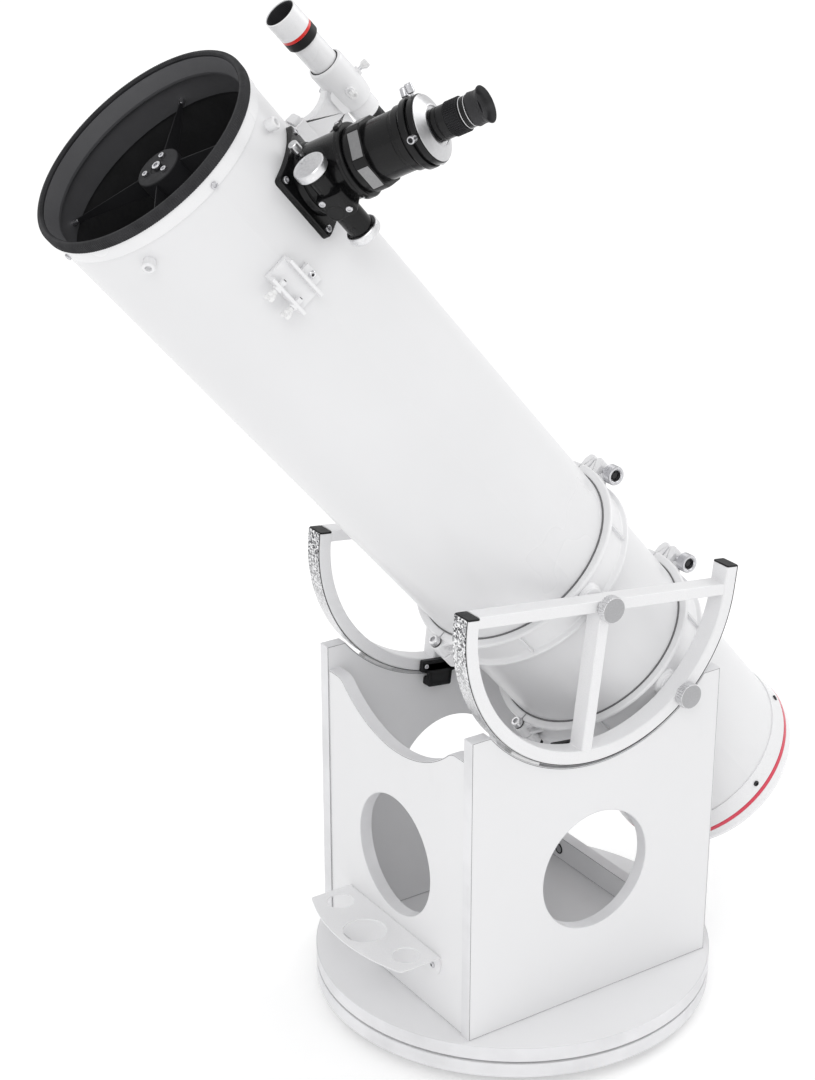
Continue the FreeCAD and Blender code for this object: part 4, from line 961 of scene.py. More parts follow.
# ---------------------------------------------------------------- optical tube
def make_tube():
    outer = 122.5
    shell = [(outer - 3, TUBE_FRONT, 0), (outer, TUBE_FRONT, 0.6), (outer, RIM - 4, 0.4),
             (outer - 4, RIM - 4, 0.4)]
    piece("front_band", [ring(shell, 0.3, 256)], TUBE, PAINT, ["front_ring"])
    cone = [(TUBE_BORE, TUBE_FRONT - 26, 0.3), (TUBE_BORE, RIM - 4.2, 0.3), (117.4, RIM - 4.2, 0.5),
            (111.6, RIM - 19, 0.8), (111.6, RIM - 22, 0.6), (116.8, RIM - 22.6, 0.5),
            (116.8, TUBE_FRONT - 26, 0.3)]
    piece("front_cone", [ring(cone, 0.4, 224)], TUBE, CONE_GREY)
    # the rim's rubber trim is a hollow bead pressed over the edge, finely ribbed across
    trim = [(outer, RIM - 11, 0.3), (124.2, RIM - 11, 0.8), (124.2, RIM - 2.2, 2.0), (121.6, RIM, 1.6),
            (119.4, RIM, 1.0), (117.5, RIM - 2.0, 1.0), (117.5, RIM - 4, 0.2), (outer, RIM - 4, 0.1)]
    ribs = 330

    def ribbed(angle, radius, height):
        return radius + 0.28 * math.cos(ribs * angle) if radius > 122.8 or height > RIM - 3 else radius
    piece("rim_rubber", [lathe(rounded(trim, 0.5, steps=4), ribs * 4, shape=ribbed)], TUBE, RUBBER,
          ["rim_trim"])
    top, groove = 126.6, 124.9
    skirt = [(outer - 3.3, TUBE_REAR, 0), (outer, TUBE_REAR, 0.6), (top, TUBE_REAR - 23.6, 2),
             (groove, TUBE_REAR - 24, 0), (groove, TUBE_REAR - 30.2, 0),
             (top - 0.2, TUBE_REAR - 30.6, 0.6), (top - 0.5, TUBE_REAR - 42, 2), (top - 4.4, -463.2, 2.5),
             (top - 9, -466, 1.5), (112, -466, 0.8), (112, TUBE_REAR - 24, 1),
             (115.5, TUBE_REAR - 20, 0.5), (115.5, TUBE_REAR + 26, 0.2), (TUBE_BORE, TUBE_REAR + 26, 0.2),
             (TUBE_BORE, TUBE_REAR, 0)]
    piece("rear_skirt", [ring(skirt, 0.4, 256)], TUBE, PAINT, ["rear_ring"])
    stripe = [(groove, TUBE_REAR - 30.1), (126.5, TUBE_REAR - 30.1), (126.5, TUBE_REAR - 24.1),
              (groove, TUBE_REAR - 24.1)]
    piece("rear_stripe", [ring(stripe, 0.3, 256)], TUBE, CRIMSON)


def make_tube_screws():
    """Small dark button heads fix the end rings; the secondary's screws have silver rims."""
    front = [moved(pan_head(3.6, 2.0, "hex"), spin("Z", a) @ shift(122.5, 0, TUBE_FRONT + 3.8) @ ALONG_X)
             for a in (0, 90, 180, 270)]
    rear = [moved(pan_head(3.6, 2.0, "hex"), spin("Z", a) @ shift(124.4, 0, TUBE_REAR - 13) @ ALONG_X)
            for a in range(0, 360, 60)]
    piece("front_band_screws", front, TUBE, STEEL, ["tube_screws"])
    piece("rear_skirt_screws", rear, TUBE, DARK_STEEL)
    front_face = SPIDER + 14
    heads = [moved(pan_head(5, 3.4, "hex"), shift(0, 0, front_face))]
    for angle in (0, 120, 240):
        at = spin("Z", angle) @ shift(14, 0, 0)
        heads.append(moved(pan_head(3.2, 2.6, "hex"), at @ shift(0, 0, front_face)))
        heads.append(moved(disc(2.0, SPIDER - 24, SPIDER - 14, 0.2, 20), at))
    heads.append(disc(3.0, SPIDER - 24, SPIDER - 14, 0.2, 20))
    piece("secondary_adjusters", heads, TUBE, STEEL)


def make_spider():
    bore = 117.0
    blades, nuts, studs = [], [], []
    hub_r = 24.0
    for angle in (45, 135, 225, 315):
        at = spin("Z", angle) @ shift(0, 0, SPIDER)
        blade = rounded([(hub_r - 1, -10.5, 0.5), (bore - 9, -2.6, 1.5), (bore - 4, -2.6, 1),
                         (bore - 4, 2.6, 1), (bore - 9, 2.6, 1.5), (hub_r - 1, 10.5, 0.5)], 0.5)
        blades.append(moved(slab(blade, -0.5, 0.5, 0.2), at @ spin("X", 90)))
        studs.append(moved(disc(2.6, bore - 7, bore + 1.5, 0.4, 20), at @ ALONG_X))
        nut = [(0, 120.8), (6.5, 120.8, 0.3), (6.5, 130, 0.8), (5.6, 131, 0.5), (3.4, 131, 0.5),
               (3.2, 127, 0.4), (0, 126.8)]
        nuts.append(moved(turned(nut, 0.4, 40), at @ ALONG_X))
    piece("spider_blades", blades, TUBE, FLAT_BLACK, ["spider_vanes"])
    piece("spider_studs", studs, TUBE, STEEL)
    piece("spider_caps", nuts, TUBE, PAINT, ["spider_nuts"])
    hub = [(0, SPIDER - 14), (hub_r, SPIDER - 14, 1), (hub_r, SPIDER + 14, 1.6), (9, SPIDER + 14, 0.5),
           (8, SPIDER + 13, 0.5), (0, SPIDER + 13)]
    piece("spider_barrel", [turned(hub, 0.5, 72)], TUBE, FLAT_BLACK, ["spider_hub"])


def spring(radius, wire, low, length, turns):
    """A coil of round wire about Z."""
    steps, sides = 18, 8
    count = turns * steps
    coil = []
    for k in range(count + 1):
        a = 2 * math.pi * k / steps
        out = Vector((math.cos(a), math.sin(a), 0))
        middle = out * radius + Vector((0, 0, low + length * k / count))
        coil.append([middle + out * (wire * math.cos(b)) + Vector((0, 0, wire * math.sin(b)))
                     for b in [2 * math.pi * j / sides for j in range(sides)]])
    return loops(coil)


def make_mirror_end():
    """Collimation knobs and their springs at the mirror's cell."""
    cell_back, clearance = -428.0, 0.3
    angles, pitch_circle = (90, 210, 330), 80
    for number, angle in enumerate(angles, start=1):
        at = TUBE @ spin("Z", angle) @ shift(pitch_circle, 0, 0)
        head = turned([(0, -474), (8.5, -474, 0.8), (11, -472, 0.6), (11, -462, 0.6), (9, -460, 0.6),
                       (0, -460)], 0.4, 144, flutes(24, 1.0, -472, -461, 0.6))
        shapes = [head, thread(3.35, -460.5, cell_back - clearance)]
        piece("collimation_knob_%d" % number, shapes, at, SATIN_GREY,
              ["collimation_screw_%d" % number], body="collimation_%d" % number)
    coil = spring(5.1, 0.9, -449.9, 20.2, turns=6)
    coils = [moved(coil, spin("Z", angle) @ shift(pitch_circle, 0, 0)) for angle in angles]
    piece("cell_springs", coils, TUBE, STEEL)


# ---------------------------------------------------------------- focuser
def square_reach(angle, half_y, half_z, corner):
    """How far a rounded rectangle reaches from its middle at an angle."""
    c, s = abs(math.cos(angle)), abs(math.sin(angle))
    reach = min(half_y / max(c, 1e-6), half_z / max(s, 1e-6))
    y, z = c * reach, s * reach
    if y > half_y - corner and z > half_z - corner:
        mid_y, mid_z = half_y - corner, half_z - corner
        along = c * mid_y + s * mid_z
        reach = along + math.sqrt(along ** 2 - mid_y ** 2 - mid_z ** 2 + corner ** 2)
    return reach


def on_tube(radius, y, z):
    return Vector((math.sqrt(radius ** 2 - y * y), y, z))


def saddle_plate():
    """A square plate bent round the tube, with a round hole for the barrel."""
    low, high, hole, corner = TUBE_R, TUBE_R + PLATE, 33.0, 4.0
    angles = [math.tau * k / 160 for k in range(160)]

    def row(radius, back, share=0.0):
        points = []
        for a in angles:
            edge = square_reach(a, PLATE_Y - back, PLATE_Z - back, corner)
            reach = edge + (hole - edge) * share
            points.append(on_tube(radius, reach * math.cos(a), reach * math.sin(a)))
        return points

    rows = [row(low, 0.0), row(high - 1.0, 0.0), row(high - 0.3, 0.3), row(high, 1.0)]
    rows += [row(high, 1.0, share) for share in (0.2, 0.4, 0.6, 0.8, 1.0)]
    rows += [row(low, 1.0, share) for share in (1.0, 0.5, 0.0)]
    return loops(rows + [rows[0]], False)


def on_plate(y):
    """Where a screw stands on the bent plate, square to its face."""
    top = TUBE_R + PLATE
    return spin("Z", math.degrees(math.asin(y / top))) @ shift(top - 0.3, 0, 0)


# the focus shaft's axis, parallel to the tube's
SHAFT = shift(SHAFT_X, SHAFT_Y, 0)


def make_focuser():
    """The saddle and barrel with their screws and the housing of the focus shaft."""
    hub = [(BORE, 124), (36.4, 124, 0.3), (36.4, 128.6, 1.5), (35.8, 130.8, 0.6), (34.6, 131.4, 0.5),
           (34.6, 132.0, 0.2), (BORE, 132.0, 0.2)]
    piece("focuser_saddle", [saddle_plate(), moved(ring(hub, 0.3, 112), ALONG_X)], FOCUSER, BLACK_METAL,
          ["focuser_base"])
    barrel = [(BORE, 132.05), (34, 132.05, 0.2), (34, 171.6, 1.2), (35.2, 172.4, 0.6), (37.5, 172.9, 0.8),
              (37.5, 176.0, 0.3), (37.1, 176.3, 0.1), (37.1, 176.7, 0.1), (37.5, 177.0, 0.3),
              (37.5, 179.2, 0.9), (36.4, 180, 0.4), (BORE, 180, 0.3)]
    shapes = [moved(ring(barrel, 0.3, 144), ALONG_X)]
    neck = [(3.06, 1), (10.8, 1, 0.2), (10.8, 24.4, 0.5), (10.2, 25, 0.3), (10.2, 26.2, 0.3),
            (10.8, 26.8, 0.4), (10.8, 29.6, 0.5), (3.06, 30, 0.2)]
    far = [(3.06, -47.6, 0.2), (12.6, -47.6, 0.6), (13.3, -46.8, 0.4), (13.3, 2.0, 0.6), (3.06, 2.0, 0.2)]
    shapes += [moved(ring(p, 0.3, 96), SHAFT) for p in (neck, far)]
    side = SHAFT_Y - 14.2
    shapes.append(block((139, 168), (side, -24), (-21.5, 7.2), 1.6, 5.0))
    shapes.append(block((133, 164), (-40, -20), (-15, 1), 2.0, 4.0))
    shapes.append(moved(disc(9.2, 0, 2.6, 0.7, 64, dish=0.5),
                        shift(149.1, side + 2.2, -12.5) @ spin("X", 90)))
    lug_at = spin("X", 72)
    shapes.append(moved(block((173.2, 179.6), (36.0, 40.6), (-7, 7), 1.0, 2.5), lug_at))
    piece("focuser_barrel", shapes, FOCUSER, BLACK_METAL, ["focuser_body"])
    steel = []
    for y in (-34.0, 34.0):
        for z in (-34.5, 34.5):
            steel.append(moved(pan_head(3.6, 2.2, "hex"), shift(0, 0, z) @ on_plate(y) @ ALONG_X))
    for x, z in ((144.3, 3.0), (163.6, -13.7)):
        steel.append(moved(pan_head(3.4, 1.6, "hex"), shift(x, side + 0.4, z) @ spin("X", 90)))
    for angle in (30, 210, 300):
        steel.append(moved(disc(1.4, 37.2, 38.0, 0.2, 16, dish=0.4),
                           spin("X", angle) @ shift(174.6, 0, 0) @ spin("X", -90)))
    steel.append(moved(pan_head(2.4, 1.2, "hex"), lug_at @ shift(176.4, 40.3, 0) @ spin("X", -90)))
    piece("focuser_screws", steel, FOCUSER, STEEL)
    # a thin satin grey ring round the housing's top edge, where it meets the neck: painted highlight along
    # that edge
    edge_highlight = ring([(13.0, 1.5), (13.5, 1.5), (13.5, 2.2), (13.0, 2.2)], 0.1, 96)
    piece("housing_edge_highlight", [moved(edge_highlight, SHAFT)], FOCUSER, SATIN_GREY)
    grub = moved(disc(1.7, 0, 0.5, 0.15, 20, dish=0.3),
                 shift(152.1, SHAFT_Y - 13.2, -37.7) @ spin("X", 90))
    piece("set_screw", [grub], FOCUSER, FLAT_BLACK)


def make_focus_knobs():
    """The two fluted knobs on their shaft, and the tension screw."""
    knobs = [disc(3.0, -NEAR_KNOB - 20, NEAR_KNOB + 4, 0.3, 24)]
    for sign, start in ((1, NEAR_KNOB), (-1, FAR_KNOB)):
        rim = [(0, 0), (13.0, 0, 0.3), (13.4, -0.4, 0.2), (16.0, -0.4, 0.5), (17, 0.6, 0.5),
               (17, 7.9, 0.3), (16.2, 9, 0.6), (14.8, 9, 0.4), (14.2, 8.5, 0.3), (0, 8.3)]
        knob = turned([(r, z + start, *e) for r, z, *e in rim], 0.4, 288,
                      flutes(96, 0.16, start + 0.9, start + 7.7))
        knobs.append(knob if sign > 0 else moved(knob, spin("X", 180)))
    piece("focus_knob_pair", knobs, FOCUSER @ SHAFT, SILVER, ["focus_knobs"],
          body="focus_shaft")
    head = [(0, 37), (3.6, 37, 0.5), (4.0, 38.4, 0.3), (5, 39.2, 0.4), (5, 48.0, 0.4), (4.2, 49, 0.5),
            (0, 49)]
    screw = [disc(2.5, 30.8, 39, 0.3, 20), turned(head, 0.3, 112, flutes(28, 0.45, 39.6, 47.8))]
    piece("tension_thumb_screw", screw, FOCUSER @ shift(135, -4, 0), SILVER, ["tension_screw"],
          body="tension")


def hexed(angle, radius, _):
    """Six flats milled on a round flange."""
    off = (angle - math.radians(FLAT_TURN + 90)) % (math.pi / 3)
    off = min(off, math.pi / 3 - off)
    return min(radius, FLAT / math.cos(off))


def wrench_pad(nut_r=36.0, steps=24):
    """The thin bright face of one wrench flat, a little proud of it, its edges eased down."""
    half = math.degrees(math.acos(FLAT / nut_r)) - 1.6
    low, high, ease = 188.7, 200.4, 0.1
    grid = []
    for x, lift in ((low, 0.02), (low + ease, 0.16), (high - ease, 0.16), (high, 0.02)):
        face = FLAT + lift
        turns = [math.radians(-half + 2 * half * j / steps) for j in range(steps + 1)]
        grid.append([(x, face, face * math.tan(a)) for a in turns])
    count = steps + 1
    verts = [p for line in grid for p in line]
    faces = [(i * count + j, (i + 1) * count + j, (i + 1) * count + j + 1, i * count + j + 1)
             for i in range(3) for j in range(steps)]
    base = len(verts)
    verts += [(x, FLAT - 0.4, z) for x, _, z in (grid[0][0], grid[0][-1], grid[3][-1], grid[3][0])]
    faces += [(base, base + 1, base + 2, base + 3)[::-1],
              tuple([base] + list(range(count)) + [base + 1])[::-1],
              tuple([base + 3] + [3 * count + j for j in range(count)] + [base + 2]),
              (base, base + 3, 3 * count, 2 * count, count, 0),
              (base + 1, steps, count + steps, 2 * count + steps, 3 * count + steps, base + 2)]
    return verts, faces


DRAW_BORE = 25.6


def make_drawtube():
    """The drawtube with its six wrench flats."""
    tube = [(DRAW_BORE, 112), (30, 112, 0.6), (30, HOLDER - 8.4, 0.2), (29.6, HOLDER - 8.0, 0.1),
            (29.6, HOLDER - 7.6, 0.1), (30, HOLDER - 7.2, 0.2), (30.0, HOLDER + 2, 0.3),
            (DRAW_BORE, HOLDER + 2, 0.3)]
    neck = [(29.4, 180.4, 0.2), (32.4, 180.4, 0.3), (33, 181.0, 0.3), (33, 187.4, 0.2),
            (29.4, 187.4, 0.2)]
    nut = [(29.8, 187.1, 0.2), (35.0, 187.1, 0.3), (36.0, 188.0, 0.3), (36.0, 201.0, 0.4),
           (34.8, 202.0, 0.3), (29.8, 202.0, 0.2)]
    shapes = [moved(ring(tube, 0.4, 144), ALONG_X), moved(ring(neck, 0.3, 112), ALONG_X),
              moved(ring(nut, 0.3, 360, shape=hexed), ALONG_X)]
    piece("drawtube_shell", shapes, FOCUSER, BLACK_METAL, ["drawtube"],
          body="draw_tube")
    pads = [moved(wrench_pad(), spin("X", 60 * k + FLAT_TURN)) for k in range(6)]
    piece("wrench_flats", pads, FOCUSER, FLAT_GREY, body="draw_tube")


def make_drawtube_clamp():
    """The clamp rings at the drawtube's end, the cone adapter and their thumb screws."""
    first = HOLDER
    rings = [(DRAW_BORE, first - 3.9), (31.6, first - 3.9, 0.5), (32.0, first - 3.4, 0.4),
             (32.0, first + 3.4, 0.4), (31.0, first + 4.0, 0.3), (31.0, first + 5.4, 0.3),
             (34.4, first + 6.0, 0.5), (35, first + 6.8, 0.4), (35, first + 12.2, 0.5),
             (34.2, first + 13.0, 0.3), (31, first + 13.3, 0.4), (31, first + 15.2, 0.4),
             (33.6, first + 15.5, 0.4), (34, first + 16.2, 0.3), (34, first + 21.2, 0.5),
             (33.4, first + 22, 0.3), (DRAW_BORE, first + 22, 0.2)]
    piece("clamp_rings", [ring(rings, 0.4, 144)], DRAW_AXIS, BLACK_METAL,
          ["drawtube_clamp"], body="draw_tube")
    cone = [(15.9, first - 12), (25.5, first - 12, 0.4), (25.5, first + 22.1, 0.2),
            (33, first + 22.1, 0.3), (33, first + 23.0, 0.4), (31.6, first + 23.6, 0.3),
            (21.4, first + 28.8, 0.5), (19.6, first + 29, 0.3), (19.2, first + 27.6, 0.3),
            (15.9, first + 27.6, 0.3)]
    piece("adapter_cone", [ring(cone, 0.4, 144)], DRAW_AXIS, TURNED,
          ["eyepiece_adapter"], body="draw_tube")
    screws, socket_shade = [], []
    front, rear = HOLDER + 18, HOLDER + 5
    for place, angle in ((rear, -170), (rear, -50), (front, 60), (front, -30)):
        knurled = [(0, 36), (3.0, 36, 0.4), (3.8, 37.2, 0.3), (3.8, 44.8, 0.3), (3.3, 46, 0.4),
                   (2.5, 46, 0.3), (2.2, 44.2, 0.2), (0, 44.0)]
        at = spin("X", angle) @ shift(place, 0, 0)
        # a dark disc in the recess of each screw's head: painted shade
        socket_shade.append(moved(disc(2.15, 43.6, 44.4, 0.2, 20), at))
        screws.append(moved(disc(1.8, 30, 37, 0.3, 20), at))
        screws.append(moved(turned(knurled, 0.3, 80, flutes(20, 0.35, 37.4, 44.6)), at))
    piece("clamp_thumb_screws", screws, FOCUSER, STEEL, ["clamp_screws"], body="draw_tube")
    piece("clamp_screw_socket_shade", socket_shade, FOCUSER, FLAT_BLACK, body="draw_tube")


def make_eyepiece():
    """A long eyepiece: polished shoulder, chequered grip, plain bands and a flared rubber cup."""
    start, end = HOLDER + 22, EYE_END
    lower = [(10, start - 26, 0.3), (15.85, start - 26, 0.5), (15.85, start + 7, 0.2),
             (16.3, start + 7.3, 0.2), (16.3, start + 12.6, 0.4), (15.4, start + 13.2, 0.3),
             (15.4, start + 14.0, 0.3), (10, start + 14, 0.2)]
    piece("eyepiece_barrel", [ring(lower, 0.3, 96)], DRAW_AXIS, BLACK_METAL,
          ["eyepiece"], body="eyepiece_body")
    collar = [(10.5, start + 14), (15.6, start + 14, 0.3), (16.3, start + 14.6, 0.3),
              (16.3, start + 21.4, 0.4), (15.8, start + 22, 0.3), (10.5, start + 22)]
    piece("eyepiece_collar", [ring(collar, 0.3, 96)], DRAW_AXIS, GLOSS_BLACK,
          body="eyepiece_body")
    rows = [(10.5, start + 22)]
    count, pitch = 9, 1.6
    for k in range(count):
        low = start + 22.2 + pitch * k
        rows += [(16.2, low), (17.2, low + 0.3), (17.2, low + 1.2), (16.2, low + 1.5)]
    rows.append((10.5, start + 22.2 + pitch * count))

    def chequered(angle, radius, _):
        return radius - 0.9 if radius > 16.5 and math.cos(48 * angle) < -0.25 else radius
    piece("eyepiece_grip", [lathe(rows, 240, shape=chequered)], DRAW_AXIS, RUBBER,
          body="eyepiece_body")
    top, cup_low = start + 36.6, end - 14.0
    upper = [(9.5, top, 0.2), (15.4, top, 0.4), (15.4, cup_low + 0.6, 0.3), (9.5, cup_low + 0.6, 0.3)]
    piece("eyepiece_head", [ring(upper, 0.3, 96)], DRAW_AXIS, BLACK_METAL,
          body="eyepiece_body")
    bands = [ring([(15.0, low), (15.6, low), (15.6, high), (15.0, high)], 0.1, 96)
             for low, high in ((top + 1.4, top + 2.1), (top + 7.0, top + 7.6))]
    piece("eyepiece_bands", bands, DRAW_AXIS, SILVER, body="eyepiece_body")
    cup = [(9.6, cup_low, 0.3), (16.0, cup_low, 0.6), (16.6, cup_low + 0.8, 0.4),
           (16.4, cup_low + 3.0, 1.0), (16.0, cup_low + 6, 1.5), (16.2, cup_low + 10, 3),
           (18.4, end - 0.7, 0.4), (17.9, end, 0.3), (15.4, cup_low + 9.6, 3), (14.2, cup_low + 6, 2),
           (11.0, cup_low + 4.4, 0.8), (9.6, cup_low + 4, 0.4)]
    piece("eyecup_fold", [lathe(rounded(cup, 0.5, steps=4), 112)], DRAW_AXIS, CAP_RUBBER,
          ["eyecup"], body="eyepiece_body")
    glass = [(0, cup_low + 0.4), (9.7, cup_low + 0.4), (9.7, cup_low + 1.2), (6, cup_low + 2.2),
             (0, cup_low + 2.6)]
    piece("eyepiece_glass", [turned(glass, 0.3, 56)], DRAW_AXIS, LENS, body="eyepiece_body")


# ---------------------------------------------------------------- finder and shoes
def make_finder():
    front, end = 98.5, -44.0
    shield = [(14.2, 63, 0.2), (16.6, 63, 0.5), (17.0, 64, 0.3), (17.0, 74.6, 0.1), (17.4, 74.8, 0.2),
              (17.4, front - 0.7, 0.4), (16.9, front, 0.4), (16.3, front, 0.3), (16.0, front - 0.8, 0.2),
              (16.0, 77, 0.2), (14.2, 76, 0.2)]
    piece("finder_shield", [ring(shield, 0.3, 112)], FINDER, PAINT, ["finder_tube"])
    inside = [(15.95, front - 1.0)] + [(15.6 - 0.8 * (k % 2), front - 1.2 - 0.8 * k) for k in range(24)]
    inside += [(13.4, 78.6), (13.4, 76.2), (16.1, 76.2)]
    piece("finder_baffle", [lathe(inside, 80)], FINDER, FLAT_BLACK)
    lens = [(0, 73), (14.1, 73), (14.1, 76.4), (9, 78.2), (0, 79.2)]
    piece("finder_objective", [solid_lathe(rounded(lens, 0.5, closed=False, steps=5), 64)], FINDER, LENS)
    red = [(16.8, 71.2), (17.3, 71.2), (17.3, 74.6), (16.8, 74.6)]
    piece("finder_red_ring", [ring(red, 0.2, 112)], FINDER, SCARLET)
    black = [(14.2, 60.6, 0.3), (16.4, 60.6, 0.8), (17.4, 62.0, 0.8), (17.4, 71.1, 0.3), (14.2, 71.1)]
    piece("finder_focus_ring", [ring(black, 0.3, 112)], FINDER, BLACK_PLASTIC)
    body = [(12.9, end, 0.3), (14.4, end, 0.6), (15.0, end + 1.6, 0.5), (15.0, 61.0, 0.2),
            (12.9, 61.0, 0.2)]
    piece("finder_body", [ring(body, 0.4, 112)], FINDER, PAINT)
    eye = [(0, -60.6), (6, -60.6, 0.2), (6, -62, 0.4), (11.6, -62, 0.8), (12.5, -60.8, 0.5),
           (12.5, -54, 0.4), (11.9, -53.4, 0.3), (11.9, -51.8, 0.3), (12.5, -51.2, 0.3),
           (12.5, end + 0.4, 0.3), (0, end + 0.4)]
    piece("finder_eyepiece", [turned(eye, 0.4, 80)], FINDER, BLACK_PLASTIC)
    seal_r, cord, seal_place = 15.7, 0.62, 27.6
    seal = [(seal_r + x, seal_place + z) for x, z in circle(0, 0, cord, 10)]
    piece("finder_seal", [lathe(seal, 96)], FINDER, RUBBER)


def make_finder_bracket():
    """A sleeve on a curved stalk that ends in a dovetail foot."""
    sleeve = [(16.4, -26, 0.3), (17.2, -26, 0.5), (18.4, -19, 6), (19.2, -9, 6), (19.2, 24.5, 1),
              (18.6, 26.6, 0.8), (17.2, 28, 0.6), (16.4, 28, 0.3)]
    top, low = -16.6, TUBE_R + 10 - FINDER_LEVEL
    front = arc_points(-40, 30.5, 30.0, low, top, -1)
    rear = arc_points(-42, -48, 22.0, low + 3, top - 3, 1)
    outline = [(low, -44, 1.5)] + [(x, z, 0) for x, z in rear] + [(top, -23, 0.5), (top, 4, 0.5)]
    outline += [(x, z, 0) for x, z in reversed(front)] + [(low, 10, 1.0)]
    stalk = moved(slab(rounded(outline, 0, steps=4), -6, 6, 1.8, 3), CROSS_PLANE)
    fillet = moved(slab(rounded([(top + 1.5, -22), (top - 3.5, -19, 2), (top - 3.5, 0, 2),
                                 (top + 1.5, 5)], 1.5), -10.5, 10.5, 2.6, 3), CROSS_PLANE)
    dovetail = rounded([(-9, TUBE_R + 5.3), (9, TUBE_R + 5.3), (6.4, TUBE_R + 16), (-6.4, TUBE_R + 16)],
                       0.8)
    rail = moved(slab(dovetail, -29, 29, 1.0), FINDER.inverted() @ FOOT @ SWAP_XY)
    shapes = [ring(sleeve, 0.4, 128), stalk, fillet, rail]
    for angle in FINDER_SCREWS:
        shapes.append(moved(disc(4.8, 17.8, 21.4, 0.8, 32), shift(0, 0, -4) @ spin("Z", angle) @ ALONG_X))
    piece("finder_cradle", shapes, FINDER, CAST, ["finder_bracket"])
    plunger = [disc(4.2, 16.6, 28, 0.8, 32), disc(2.2, 27, 31.0, 0.6, 20)]
    piece("finder_plunger", [moved(s, shift(0, 0, -4) @ spin("Z", 123) @ ALONG_X) for s in plunger],
          FINDER, STEEL)


def arc_points(mid_x, mid_z, radius, low, high, side):
    """Points of a circle's arc between two heights, on one side of its middle."""
    points = []
    for k in range(13):
        x = low + (high - low) * k / 12
        reach = max(0.0, radius ** 2 - (x - mid_x) ** 2)
        points.append((x, mid_z + side * math.sqrt(reach)))
    return [(x, min(z, 10.0) if side < 0 else max(z, -44.0)) for x, z in points]


def thumb_screw(reach, head):
    """A white plastic thumb screw along +X, its head fluted, on a steel shank."""
    grip = [(0, reach - 0.5), (2.8, reach - 0.5, 0.4), (3.0, reach + 1.2, 0.8), (4.5, reach + 2.6, 0.8),
            (4.5, reach + head - 0.8, 0.6), (3.4, reach + head, 0.5), (1.8, reach + head, 0.3),
            (1.5, reach + head - 1.2, 0.3), (0, reach + head - 1.4)]
    fluting = flutes(8, 0.8, reach + 2, reach + head - 0.4)
    return disc(2.0, reach - 8, reach, 0.3, 20), turned(grip, 0.4, 64, fluting)


def wing_screw(reach):
    """The shoes' thumb screws: a round neck that spreads into a flat two-lobed wing, along +Z."""
    neck = turned([(0, reach - 0.4), (2.6, reach - 0.4, 0.3), (3.0, reach + 2.6, 1),
                   (4.4, reach + 4.6, 1), (4.4, reach + 7.4, 1), (0, reach + 7.8)], 0.3, 48)
    wing = rounded([(-4.2, reach + 3.4, 1.5), (4.2, reach + 3.4, 1.5), (7.0, reach + 7.0, 2),
                    (7.0, reach + 11.2, 1.8), (4.2, reach + 11.6, 1.5), (0, reach + 9.8, 2.5),
                    (-4.2, reach + 11.6, 1.5), (-7.0, reach + 11.2, 1.8), (-7.0, reach + 7.0, 2)], 1.5,
                   steps=4)
    wing = moved(slab(wing, -2.0, 2.0, 0.9, 3), spin("X", 90))
    return disc(2.0, reach - 8, reach, 0.3, 20), [neck, wing]


def saddled_block(low_y, high_y, low_z, high_z, height):
    """A block with rounded top edges whose underside follows the tube."""
    section = [(math.sqrt(TUBE_R ** 2 - y * y), y, 0) for y in
               [high_y + (low_y - high_y) * k / 8 for k in range(9)]]
    section += [(TUBE_R + height, low_y, 1.0), (TUBE_R + height, high_y, 1.0)]
    return slab(rounded(section, 0, steps=3), low_z, high_z, 0.7)


def shoe_shapes():
    """A saddled base, two walls and an ear for the fixing screw."""
    half, wall, length = 14.0, 3.6, 26.0
    shapes = [saddled_block(-half, half, -length, length, 5.0), saddled_block(half - 2, 25, -20, 3, 3.5)]
    for low, high in ((-half, wall - half), (half - wall, half)):
        shapes.append(block((TUBE_R + 3.5, TUBE_R + 16), (low, high), (-length, length), 0.8))
    return shapes


def make_shoes():
    foot, free = TUBE.inverted() @ FOOT, TUBE.inverted() @ SHOE
    bodies, screws, shanks, bright, dark = [], [], [], [], []
    for at, heading in ((foot, 90), (free, -90)):
        bodies += [moved(s, at) for s in shoe_shapes()]
        ear = at @ shift(TUBE_R + 3.3, 20.5, -8.5) @ ALONG_X
        bright.append(moved(pan_head(4.0, 2.4), ear))
        # a dark cross in the ear's screw head: painted shade in its recess
        dark += [moved(b, ear) for b in cross_recess_shade(4.0, 2.4)]
        for z in (-13, 13):
            turn_to = at @ shift(TUBE_R + 11, 0, z) @ spin("Z", heading)
            shank, grip = wing_screw(17.4)
            shanks.append(moved(shank, turn_to @ ALONG_X))
            screws += [moved(g, turn_to @ ALONG_X @ spin("Z", 90)) for g in grip]
            bodies.append(moved(disc(4.8, 12.6, 16.6, 0.8, 32), turn_to @ ALONG_X))
    for z in (-13, 13):
        boss = free @ shift(TUBE_R + 11, 0, z) @ spin("Z", -90) @ ALONG_X
        bodies.append(moved(disc(3.2, 4.6, 11.4, 0.8, 24), boss))
        dark.append(moved(disc(1.6, 3.6, 4.8, 0.3, 16), boss))
    piece("shoe_castings", bodies, TUBE, CAST, ["dovetail_shoes"])
    piece("shoe_screws", bright, TUBE, CHROME)
    # the dark crosses are painted shade in the screw recesses; the dark discs sit at the inner ends of the
    # free shoe's bosses
    piece("shoe_recess_shade_and_boss_ends", dark, TUBE, FLAT_BLACK)
    mount = TUBE.inverted() @ FINDER @ shift(0, 0, -4)
    for angle in FINDER_SCREWS:
        shank, grip = thumb_screw(24.5, 8)
        shanks.append(moved(shank, mount @ spin("Z", angle) @ ALONG_X))
        screws.append(moved(grip, mount @ spin("Z", angle) @ ALONG_X))
    piece("thumb_screw_grips", screws, TUBE, WHITE_PLASTIC, ["thumb_screws"])
    piece("thumb_screw_shanks", shanks, TUBE, STEEL)


